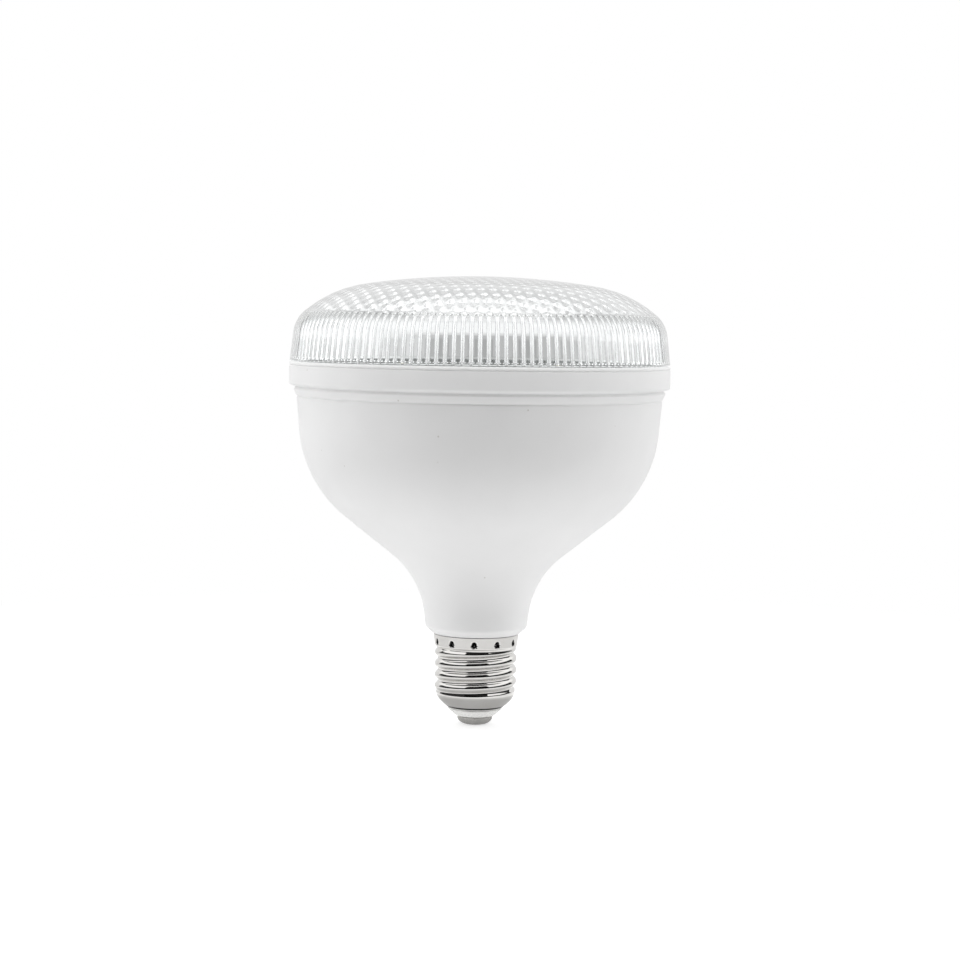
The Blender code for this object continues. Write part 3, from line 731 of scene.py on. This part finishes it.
# %% Cushions
cushion_width = 0.6  # of the room that one cushion has
cushion_length = 0.9
flat_margin = 0.9 * mm
dome_frost = 0.2
rim = rib_rows[-1]
dome = cover_mesh.faces.new(rim)
inner_rim = math.hypot(rim[0].co.x, rim[0].co.y)
cells = math.ceil(inner_rim / cushion_pitch)
within = set([dome, *dome.edges, *dome.verts])
for axis, cuts_per_cell in (((1, 0, 0), 8), ((0, 1, 0), 4)):
    for line in range(-8 * cells, 8 * cells + 1):
        place = (line + 2) * cushion_pitch / cuts_per_cell
        if abs(place) >= inner_rim - 0.05 * mm:
            continue
        on_plane = [place * part for part in axis]
        cut = bmesh.ops.bisect_plane(
            cover_mesh, geom=list(within), dist=0.00002 * mm, plane_co=on_plane, plane_no=axis
        )
        within = set(cut["geom"])
for vertex in {item for item in within if isinstance(item, bmesh.types.BMVert)} - set(rim):
    x, y = vertex.co.x, vertex.co.y
    from_axis = math.hypot(x, y)
    line = round(y / cushion_pitch)
    shifted = x / cushion_pitch + line / 4
    across = 2 * (shifted - round(shifted))
    along = 2 * (y / cushion_pitch - line)
    margin = min(1.0, max(0.0, (inner_rim - from_axis) / flat_margin))
    bulge = 1 - (across / cushion_width) ** 2 - (along / cushion_length) ** 2
    rise = cushion_height * margin * max(0.0, bulge)
    radius, height = cover_point(turn_at_radius(from_axis, cover_wall), cover_wall + rise)
    scale = radius / from_axis if from_axis > 0 else 1.0
    vertex.co = (x * scale, y * scale, height)
    vertex[frost] = dome_frost
    vertex[shadow] = 0.0
    vertex[groove] = 0.0
print("cushions of", cushion_pitch / mm, "mm pitch,", len(within), "parts")

# %% Cover
bmesh.ops.recalc_face_normals(cover_mesh, faces=cover_mesh.faces)
clear_mesh = bpy.data.meshes.new("clear_cover")
cover_mesh.to_mesh(clear_mesh)
cover_mesh.free()
cover = bpy.data.objects.new("clear_cover", clear_mesh)
scene.collection.objects.link(cover)
shade(cover, 32)
print("cover", len(clear_mesh.polygons), "faces")

# %% [markdown]
# Clear plastic is a Principled shader with full transmission and the refractive index of acrylic.
# Lamps can't be sampled through refraction, so the inside of the bulb would stay dark and grainy.
# Real clear plastic lets that light through, and the usual answer is to let shadow rays pass as
# through a Transparent shader. Light Path does that, in the material itself. Diffuse rays pass too,
# so that the board is lit evenly. So do rays that have turned twice already: they would cost a lot
# of time among the ribs and show little. The light that passes is tinted by each surface.

# %% Cover finish
clear_tint = (0.985, 0.99, 0.992)
shadow_tint = (0.05, 0.05, 0.055)
rib_pass = (0.97, 0.975, 0.975)
groove_shade_pass = (0.78, 0.785, 0.785)
light_pass = (0.80, 0.805, 0.805)
clear_plastic, tree, shader, vector = new_material("clear plastic", clear_tint, 0.02)
shader.inputs["Transmission Weight"].default_value = 1.0
shader.inputs["IOR"].default_value = 1.49
effect = add_group(tree, grain_group, vector, grain_scale=260.0, speck_share=0.02)
hazed = spread(tree, effect["Tone"], 0.012, 0.035)
dusty = times(tree, effect["Specks"], 0.2)
satin = times(tree, painted(tree, "frost"), 0.4)
soiled = math_node(tree, "ADD", hazed, dusty)
tree.links.new(math_node(tree, "ADD", soiled, satin), shader.inputs["Roughness"])
# Painted shade: the colour turns near black where the "shadow" mask is 1.
shaded = blend_colours(tree, painted(tree, "shadow"), clear_tint, shadow_tint)
tree.links.new(shaded, shader.inputs["Base Color"])
path = tree.nodes.new("ShaderNodeLightPath").outputs
lighting = math_node(tree, "MAXIMUM", path["Is Shadow Ray"], path["Is Diffuse Ray"])
# Painted shade: rays that pass the gaps' lower part are tinted darker than at the ribs.
passed = blend_colours(tree, painted(tree, "groove"), rib_pass, groove_shade_pass)
passing = tree.nodes.new("ShaderNodeBsdfTransparent")
tree.links.new(blend_colours(tree, lighting, passed, light_pass), passing.inputs["Color"])
turned_twice = math_node(tree, "GREATER_THAN", path["Ray Depth"], 1.5)
passes = math_node(tree, "MAXIMUM", lighting, turned_twice)
mixed = mix_shaders(tree, passes, shader.outputs["BSDF"], passing.outputs["BSDF"])
tree.links.new(mixed, tree.nodes["Material Output"].inputs["Surface"])
fit(cover, clear_plastic, "clear_cover", "cover")

# %% [markdown]
# The screw cap is thin sheet, drawn to a cup and rolled, with the same wave inside and out. Its
# thread climbs round the axis, so it can't be spun from one outline. The sheet is spun as a plain
# sleeve of many rings first. Then each vertex is pushed in or out by the thread's wave, which is the
# same thing the rolling tool does. The wave is a broad arc at each crest and a tighter one at each
# root. The dimples that crimp the cap to the housing are pressed in the same way, and a Solidify
# modifier gives the sheet its thickness at the end. The mask "crimp" is 1 at the middle of a dimple
# and 0.5 at the lip that turns in over the insulator. The finish paints both nearly black: painted
# shade in the pits, and along the crease where the lip meets the insulator.

# %% Cap sizes
cap_crest = 13.05 * mm
cap_root = 12.1 * mm
cap_pitch = 25.4 / 7 * mm
cap_sheet = 0.35 * mm
collar_radius = 13.15 * mm
mouth_radius = 13.5 * mm
lip_radius = 8.95 * mm
lip_height = 5.7 * mm
shoulder_height = 10.4 * mm
thread_top = 24.7 * mm
collar_height = 25.6 * mm
cap_top = 29.1 * mm
thread_start = math.radians(48.2)
crest_share = 0.62
dimple_count = 11
dimple_height = 26.9 * mm
dimple_depth = 1.0 * mm
dimple_half_width = 0.85 * mm
dimple_half_height = 1.1 * mm
dimple_turn = math.radians(-92.2)
lip_edge = 0.8 * mm


def thread_wave(turns, rise):
    """The rolled profile: a broad arc at each crest, at whole turns, and a tighter arc at each root."""
    from_crest = abs((turns + 0.5) % 1.0 - 0.5) * cap_pitch
    flank = 2 * math.atan(2 * rise / (cap_pitch / 2))
    both = cap_pitch / 2 / math.sin(flank)
    crest_arc = crest_share * both
    root_arc = both - crest_arc
    if from_crest < crest_arc * math.sin(flank):
        return rise - crest_arc + math.sqrt(crest_arc**2 - from_crest**2)
    return -rise + root_arc - math.sqrt(max(0.0, root_arc**2 - (cap_pitch / 2 - from_crest) ** 2))


def cap_surface(height, angle):
    """Radius of the cap's outside: shoulder, rolled thread that runs out at both ends, and collar."""
    mean = (cap_crest + cap_root) / 2
    rise = (cap_crest - cap_root) / 2
    if height <= shoulder_height:
        share = (height - lip_height) / (shoulder_height - lip_height)
        return lip_radius + (mean - lip_radius) * math.sin(share * math.pi / 2)
    if height >= collar_height:
        flare = (height - collar_height) / (cap_top - collar_height)
        return collar_radius + (mouth_radius - collar_radius) * flare
    run_out = min(height - shoulder_height, collar_height - height) / (cap_pitch / 2)
    swell = max(0.0, (height - thread_top) / (collar_height - thread_top))
    wave = thread_wave(height / cap_pitch - (angle - thread_start) / (2 * math.pi), rise)
    return mean + (collar_radius - mean) * swell + min(1.0, run_out) * wave


def dimple_press(height, angle):
    """How deep the crimping tool has pressed the collar at this place."""
    spacing = 2 * math.pi / dimple_count
    turn = (angle - dimple_turn + spacing / 2) % spacing - spacing / 2
    across = turn * collar_radius / dimple_half_width
    along = (height - dimple_height) / dimple_half_height
    return dimple_depth * max(0.0, 1.0 - math.hypot(across, along)) ** 0.7


# %% Cap shell
ring_count = 150
cap_length = cap_top - lip_height
sleeve_heights = [lip_height + cap_length * step / ring_count for step in range(ring_count + 1)]
sleeve_outline = [(collar_radius, height) for height in sleeve_heights]
cap_shell = spun_piece("rolled_cap_shell", sleeve_outline, 264)
crimp = cap_shell.data.attributes.new("crimp", "FLOAT", "POINT")
for vertex in cap_shell.data.vertices:
    angle = math.atan2(vertex.co.y, vertex.co.x)
    press = dimple_press(vertex.co.z, angle)
    turned_in = 0.5 * max(0.0, 1.0 - (vertex.co.z - lip_height) / lip_edge)
    crimp.data[vertex.index].value = max(press / dimple_depth, turned_in)
    radius = cap_surface(vertex.co.z, angle) - press
    vertex.co.x = radius * math.cos(angle)
    vertex.co.y = radius * math.sin(angle)
modify(cap_shell, "sheet thickness", "SOLIDIFY", thickness=cap_sheet, offset=-1.0, use_even_offset=True)
shade(cap_shell, 40)
print("cap shell", len(cap_shell.data.polygons), "faces")

# %% Cap finish
nickel = turned_finish(
    "nickel plate", (0.86, 0.85, 0.83), (0.80, 0.785, 0.76), 0.045, marks=2600.0, depth=0.001
)
tree = nickel.node_tree
shader = tree.nodes["Principled BSDF"]
plated = shader.inputs["Base Color"].links[0].from_socket
# Painted shade: the colour turns nearly black in the dimples and along the turned-in lip.
bottom = rising(tree, painted(tree, "crimp"), 0.03, 0.2)
tree.links.new(blend_colours(tree, bottom, plated, (0.02, 0.02, 0.02)), shader.inputs["Base Color"])
fit(cap_shell, nickel, "nickel_cap", "cap_shell")

# %% [markdown]
# The white insulator fills the cap's foot, and the tip contact is a small pressed dome riveted into
# it. Both are round, so both are spun, with small fillets where the real ones have them.

# %% Insulator
insulator_outline = rounded(
    [
        (1.4 * mm, 2.9 * mm),
        (6.2 * mm, 2.9 * mm, 0.3 * mm, 4),
        (8.7 * mm, 5.1 * mm, 0.2 * mm, 4),
        (8.3 * mm, 5.4 * mm),
    ]
)
insulator_outline += in_mm((11.1, 8.05), (11.1, 9.6), (1.4, 9.6), (1.4, 2.9))
insulator = spun_piece("cap_foot_insulator", insulator_outline, 96)
shade(insulator, 35)
insulator_white = moulded_finish(
    "glossy white insulator", (0.86, 0.86, 0.84), (0.82, 0.82, 0.80), 0.28, grain=1500.0, depth=0.01
)
fit(insulator, insulator_white, "cap_insulator", "cap_insulator")

# %% Tip contact
contact_outline = [(0.0, 0.0), (2.2 * mm, 0.0)]
for step in range(1, 13):
    angle = math.pi / 2 * step / 12
    contact_radius = (2.2 + 3.4 * math.sin(angle)) * mm
    contact_outline.append((contact_radius, 2.21 * mm * (1 - math.cos(angle))))
contact_outline += in_mm((5.6, 2.45), (5.45, 2.6), (1.1, 2.6), (1.1, 11.0), (0.0, 11.0))
contact = spun_piece("tip_contact", contact_outline, 96)
shade(contact, 35)
tinned = turned_finish("tinned brass", (0.78, 0.77, 0.74), (0.66, 0.65, 0.63), 0.22, marks=2000.0)
fit(contact, tinned, "contact_metal", "centre_contact")

# %% [markdown]
# Each light source is a small white package with a phosphor window set into its top. One package is
# modelled at the middle of the board from a cube: bevelled, its top inset, and the window pushed
# down. It is then copied to its thirty places, each copy with a mesh of its own.

# %% Light source package
package_side = 3.0 * mm
package_height = 0.7 * mm
board_top = 108.3 * mm
package_rounding = 0.12 * mm
window_rim = 0.28 * mm
window_depth = 0.14 * mm
package = block((package_side, package_side, package_height), (0, 0, board_top + package_height / 2))
edit(package)
bpy.ops.mesh.select_all(action="SELECT")
bpy.ops.mesh.bevel(offset=package_rounding, segments=2)
select_faces(package, lambda face: face.normal.z > 0.99 and face.calc_area() > (2 * mm) ** 2)
bpy.ops.mesh.inset(thickness=window_rim)
bpy.ops.mesh.extrude_region_move(TRANSFORM_OT_translate={"value": (0, 0, -window_depth)})
bpy.ops.object.mode_set(mode="OBJECT")
window = max(package.data.polygons, key=lambda face: face.area * (face.normal.z > 0.99))
window_index = window.index
print("package", len(package.data.polygons), "faces, window", window_index)

# %% Package finishes
package_white = moulded_finish(
    "package white", (0.84, 0.84, 0.82), (0.80, 0.80, 0.78), 0.45, grain=3000.0, depth=0.005
)
phosphor = moulded_finish(
    "phosphor", (0.90, 0.80, 0.40), (0.86, 0.74, 0.32), 0.35, grain=4000.0, depth=0.01
)

# %% Copies of the package
package_rings = ((13.0 * mm, 6), (27.0 * mm, 10), (42.0 * mm, 14))
shade(package, 30)
number = 0
for ring_radius, count in package_rings:
    for place in range(count):
        number += 1
        turned = Matrix.Rotation(2 * math.pi * place / count, 4, "Z")
        placement = turned @ Matrix.Translation((ring_radius, 0, 0))
        copy = placed_copy(package, f"light_source_{number:02d}", placement)
        copy.data.materials.append(package_white)
        copy.data.materials.append(phosphor)
        copy.data.polygons[window_index].material_index = 1
        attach(copy, "root")
        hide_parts(f"led_{number:02d}")
bpy.data.objects.remove(package)
print(number, "packages")

# %% [markdown]
# The terminal takes the driver's two leads. It is a white block with two wire entries on the side of
# the board's hole and two push levers on top. A bisect cuts the block in half, so that inset and
# extrude can make one entry and one lever on each side.

# %% Wire terminal
terminal_size = (6.0 * mm, 5.6 * mm, 3.4 * mm)
terminal_centre = (6.2 * mm, 0.0, 110.0 * mm)
entry_rim = 0.7 * mm
entry_depth = 1.6 * mm
lever_rim = 0.6 * mm
lever_depth = 0.35 * mm
terminal = block(terminal_size, terminal_centre)
terminal.name = terminal.data.name = "push_terminal"
edit(terminal)
bpy.ops.mesh.select_all(action="SELECT")
bpy.ops.mesh.bisect(plane_co=(0, 0, 0), plane_no=(0, 1, 0))
select_faces(terminal, lambda face: face.normal.x < -0.9)
bpy.ops.mesh.inset(thickness=entry_rim, use_individual=True)
bpy.ops.mesh.extrude_region_move(TRANSFORM_OT_translate={"value": (entry_depth, 0, 0)})
select_faces(terminal, lambda face: face.normal.z > 0.9 and face.calc_center_median().z > 111.6 * mm)
bpy.ops.mesh.inset(thickness=lever_rim, use_individual=True)
bpy.ops.mesh.extrude_region_move(TRANSFORM_OT_translate={"value": (0, 0, -lever_depth)})
bpy.ops.object.mode_set(mode="OBJECT")
modify(terminal, "rounding", "BEVEL", width=0.15 * mm, segments=2, limit_method="ANGLE")
shade(terminal, 30)
terminal_white = moulded_finish(
    "terminal white", (0.82, 0.82, 0.80), (0.78, 0.78, 0.76), 0.35, grain=2000.0, depth=0.008
)
fit(terminal, terminal_white, "terminal_white", "wire_terminal")

# %% [markdown]
# Three small pan-head screws clamp the board to its cup. One is spun from its outline with a domed
# head, and a cross-shaped cutter takes the recess out of it with a Boolean modifier.

# %% Board screws
screw_circle = 34.5 * mm
head_radius = 2.7 * mm
head_edge = 0.5 * mm
head_rise = 1.1 * mm
shank_radius = 1.4 * mm
recess_length = 2.6 * mm
recess_width = 0.55 * mm
screw_outline = [(0.0, board_top + 1.6 * mm)]
for step in range(1, 9):
    angle = math.pi / 2 * step / 8
    head_height = board_top + head_edge + head_rise * math.cos(angle)
    screw_outline.append((head_radius * math.sin(angle), head_height))
screw_outline += [
    (head_radius, board_top),
    (shank_radius, board_top),
    (shank_radius, board_top - 6.6 * mm),
    (1.0 * mm, board_top - 7.0 * mm),
    (0.0, board_top - 7.0 * mm),
]
screw = spun_piece("screw_model", screw_outline, 32)
for length, width in ((recess_length, recess_width), (recess_width, recess_length)):
    blade = block((length, width, 1.6 * mm), (0, 0, board_top + 1.5 * mm))
    modify(screw, "cross recess", "BOOLEAN", operation="DIFFERENCE", object=blade)
    bpy.data.objects.remove(blade)
shade(screw, 30)
zinc_steel = turned_finish("zinc plated steel", (0.66, 0.67, 0.69), (0.56, 0.56, 0.57), 0.26, marks=2500.0)
for number in range(3):
    angle = math.radians(30) + 2 * math.pi * number / 3
    place = (screw_circle * math.cos(angle), screw_circle * math.sin(angle), 0)
    copy = placed_copy(screw, f"pan_head_screw_{number + 1}", Matrix.Translation(place))
    fit(copy, zinc_steel, "zinc_steel", f"board_screw_{number + 1}")
bpy.data.objects.remove(screw)

# %% [markdown]
# The pieces under the board are right as the CAD gives them, because nobody sees them in a closed
# bulb. They still get real finishes, for anyone who opens the model.

# %% Finishes of the inner pieces
inner_plastics = {
    "led_board": ("white board mask", (0.86, 0.87, 0.86), (0.84, 0.85, 0.84), 0.40, 900.0, 0.006),
    "driver_board": ("green board", (0.06, 0.24, 0.11), (0.04, 0.18, 0.08), 0.45, 2200.0),
    "transformer_core": ("ferrite", (0.045, 0.045, 0.05), (0.03, 0.03, 0.03), 0.55, 2600.0),
    "transformer_winding": ("winding tape", (0.80, 0.60, 0.10), (0.72, 0.52, 0.08), 0.32),
    "bulk_capacitor": ("capacitor sleeve", (0.04, 0.05, 0.08), (0.03, 0.03, 0.05), 0.35),
    "input_choke": ("choke sleeve", (0.03, 0.03, 0.03), (0.02, 0.02, 0.02), 0.42),
    "film_capacitor": ("red coating", (0.50, 0.10, 0.06), (0.42, 0.07, 0.05), 0.36, 500.0),
    "bridge_rectifier": ("black resin", (0.025, 0.025, 0.025), (0.02, 0.02, 0.02), 0.48, 3000.0),
    "fuse_resistor": ("grey ceramic", (0.50, 0.55, 0.53), (0.42, 0.47, 0.45), 0.6, 2400.0),
    "output_lead_red": ("red sheath", (0.58, 0.04, 0.03), (0.50, 0.03, 0.03), 0.4),
    "output_lead_black": ("black sheath", (0.025, 0.025, 0.025), (0.02, 0.02, 0.02), 0.4),
    "input_lead_contact": ("white sheath", (0.78, 0.78, 0.76), (0.72, 0.72, 0.70), 0.4),
}
inner_finishes = {node: moulded_finish(*values) for node, values in inner_plastics.items()}
inner_finishes["heat_sink_cup"] = turned_finish(
    "pressed aluminium", (0.86, 0.87, 0.88), (0.78, 0.79, 0.80), 0.30, marks=1500.0
)
inner_finishes["output_capacitor"] = inner_finishes["bulk_capacitor"]
inner_finishes["controller_chip"] = inner_finishes["bridge_rectifier"]
inner_finishes["input_lead_shell"] = inner_finishes["input_lead_contact"]
for node, finish in inner_finishes.items():
    carried = bpy.data.objects[node]
    for place in carried.material_slots:
        place.material = finish
print(len(inner_finishes), "inner pieces finished")

# %% [markdown]
# The bulb was photographed in a light tent: white all round, with a dark gap where the camera looks
# in. That gap is why the housing is greyer in its middle than at its sides, and it is the dark patch
# in the cap's shine. The tent is the world's own shader, by direction only. To the camera itself the
# world is plain white, at a strength of 1.
#
# The tent isn't the same for every kind of ray, because one simple room can't match what the
# matt housing, the mirror of the cap and the clear cover each show of the real one:
# - matt surfaces see the wide gap, and brighter panels at the sides
# - the cap sees a narrow gap, and a wide dark band that stands for the room under the panels
# - the cover lets one see the tent's back wall, with its two curtains and the seam of its floor
# - a ray that the cover has turned back inside sees the same as that, with darker panels
# Azimuths are in degrees from the camera's side, and elevations from the horizon.

# %% Light tent
def kinds_of_ray(tree, path):
    """Masks for rays through the clear cover, off a mirror only, and turned back inside the cover."""
    glossy = path["Is Glossy Ray"]
    refracted = path["Is Transmission Ray"]
    was_inside = math_node(tree, "GREATER_THAN", path["Transmission Depth"], 0.5)
    both = times(tree, was_inside, glossy)
    turned_inside = math_node(tree, "SUBTRACT", both, refracted, clamp=True)
    through_glass = math_node(tree, "MAXIMUM", refracted, both)
    mirrored = math_node(tree, "SUBTRACT", glossy, through_glass, clamp=True)
    return through_glass, mirrored, turned_inside


tent = bpy.data.worlds.new("light tent")
scene.world = tent
tent.use_nodes = True
tree = tent.node_tree
direction = tree.nodes.new("ShaderNodeTexCoord")
axes = axes_of(tree, direction.outputs["Generated"])
up = axes["Z"]
towards_camera = times(tree, axes["Y"], -1.0)
azimuth = math_node(tree, "ARCTAN2", axes["X"], towards_camera)
path = tree.nodes.new("ShaderNodeLightPath").outputs
through_glass, mirrored, turned_inside = kinds_of_ray(tree, path)


def sine(degrees):
    """The height of a direction at that elevation."""
    return math.sin(math.radians(degrees))


def dimmed(mask, level):
    """A factor for the tent: level where the mask is 1, and 1 where it is 0."""
    return spread(tree, mask, 1.0, level, 0.0, 1.0)


def dark_window(centre, half_width, bottom, top, level):
    """A factor for the tent: level inside this window of azimuths and elevations, 1 outside it."""
    away = math_node(tree, "ABSOLUTE", math_node(tree, "SUBTRACT", azimuth, math.radians(centre)))
    inside = falling(tree, away, math.radians(half_width - 1), math.radians(half_width + 1))
    below = falling(tree, up, sine(top - 2), sine(top + 2))
    above = rising(tree, up, sine(bottom - 1), sine(bottom))
    return dimmed(times(tree, inside, times(tree, below, above)), level)


# The gaps in front
matt_gap = dark_window(3, 54, -60, 70, 0.02)
camera_gap = dark_window(3, 36, -60, 60, 0.02)
low_room = dark_window(0, 125, -60, 26, 0.03)
clear_gap = dark_window(3, 36, -60, 42, 0.55)
behind = rising(tree, axes["Y"], 0.5, 0.6)
back_wall = dimmed(times(tree, behind, falling(tree, up, 0.30, 0.45)), 0.78)
shiny_gap = times(tree, times(tree, camera_gap, low_room), back_wall)
factor = chosen(tree, through_glass, chosen(tree, mirrored, matt_gap, shiny_gap), clear_gap)

# The back wall, seen through the cover
off_axis = math_node(tree, "ABSOLUTE", math_node(tree, "SUBTRACT", axes["X"], 0.007))
straight = falling(tree, off_axis, 0.026, 0.060)
low = falling(tree, up, -0.003, 0.007)
back_seam = dimmed(times(tree, straight, low), 0.52)
low_curtain = spread(tree, off_axis, 0.58, 1.0, 0.06, 0.10)
high_curtain = spread(tree, off_axis, 0.30, 1.0, 0.20, 0.34)
curtain = chosen(tree, rising(tree, up, 0.028, 0.055), low_curtain, high_curtain)
curtain = chosen(tree, rising(tree, up, 0.16, 0.28), curtain, 0.76)
behind_glass = times(tree, behind, through_glass)
factor = chosen(tree, behind_glass, factor, times(tree, back_seam, curtain))

# The panels' brightness
from_camera = math_node(tree, "ABSOLUTE", azimuth)
sides = spread(tree, from_camera, 1.88, 0.93, math.radians(105), math.radians(120))
panels = chosen(tree, through_glass, chosen(tree, mirrored, sides, 1.05), 1.85)
panels = chosen(tree, turned_inside, panels, 0.72)
tent_level = times(tree, factor, panels)
level = chosen(tree, path["Is Camera Ray"], tent_level, 1.0)
tree.links.new(level, tree.nodes["Background"].inputs["Strength"])
tree.nodes["Background"].inputs["Color"].default_value = (1.0, 1.0, 1.0, 1.0)
print("light tent", len(tree.nodes), "nodes")

# %% Overhead softbox
softbox_width = 0.75
softbox_length = 0.60
softbox_watts = 2.8
softbox_tilt = math.radians(10)
softbox_light = bpy.data.lights.new("overhead softbox", "AREA")
softbox_light.shape = "RECTANGLE"
softbox_light.size = softbox_width
softbox_light.size_y = softbox_length
softbox_light.energy = softbox_watts
softbox = bpy.data.objects.new("overhead softbox", softbox_light)
scene.collection.objects.link(softbox)
softbox.location = (0.0, -0.16, 0.95)
softbox.rotation_euler = (softbox_tilt, 0, 0)

# %% [markdown]
# The floor is a pale board under the bulb. Away from the bulb it is seen as plain white, like the
# background. Round the bulb its own shading shows, so that the soft shadow stays. The tent's dark
# gap takes more light from the board than the real one does, so the board glows a little: by one
# level to the camera, and by others to the housing above it, to the cap's mirror and through the
# cover. In the cap's mirror alone, the floor is also painted dark: a painted reflection of a table
# edge in front, and painted shade right under the cap.

# %% Floor
start_alone()
bpy.ops.mesh.primitive_circle_add(vertices=96, radius=3.0, fill_type="NGON")
floor = bpy.context.object
floor.name = floor.data.name = "floor"
pale, tree, shader, vector = new_material("pale floor", (0.55, 0.55, 0.55), 0.6)
shader.inputs["Specular IOR Level"].default_value = 0.1
shader.inputs["Emission Color"].default_value = (1.0, 1.0, 1.0, 1.0)
path = tree.nodes.new("ShaderNodeLightPath").outputs
through_glass, mirrored, _ = kinds_of_ray(tree, path)
length = tree.nodes.new("ShaderNodeVectorMath")
length.operation = "LENGTH"
tree.links.new(vector, length.inputs[0])
distance = length.outputs["Value"]

# Its glow
under_bulb = spread(tree, distance, 0.60, 0.28, 0.03, 0.09)
in_mirror = spread(tree, distance, 0.46, 0.12, 0.05, 0.08)
lift = chosen(tree, path["Is Glossy Ray"], under_bulb, 0.46)
lift = chosen(tree, mirrored, lift, in_mirror)
lift = chosen(tree, path["Is Camera Ray"], lift, 0.62)
far_in_cover = times(tree, rising(tree, distance, 0.6, 0.8), through_glass)
tree.links.new(chosen(tree, far_in_cover, lift, 0.45), shader.inputs["Emission Strength"])


def plain_glow(strength):
    """A white Emission shader."""
    node = tree.nodes.new("ShaderNodeEmission")
    node.inputs["Strength"].default_value = strength
    return node.outputs["Emission"]


# Plain white away from the bulb
away = rising(tree, distance, 0.10, 0.35)
plain = times(tree, away, path["Is Camera Ray"])
to_camera = mix_shaders(tree, plain, shader.outputs["BSDF"], plain_glow(1.0))

# Painted reflection and painted shade, dark only to the cap's mirror
past_table = rising(tree, distance, 0.15, 0.18)
in_front = falling(tree, axes_of(tree, vector)["Y"], 0.0, 0.2)
painted_table_edge = times(tree, past_table, in_front)
under_cap = spread(tree, distance, 0.48, 0.0, 0.02, 0.05)
dark = times(tree, mirrored, math_node(tree, "MAXIMUM", painted_table_edge, under_cap))
to_metal = mix_shaders(tree, dark, to_camera, plain_glow(0.03))
tree.links.new(to_metal, tree.nodes["Material Output"].inputs["Surface"])
floor.data.materials.append(pale)

# %% Settings
scene.view_settings.view_transform = "Standard"
start_alone()
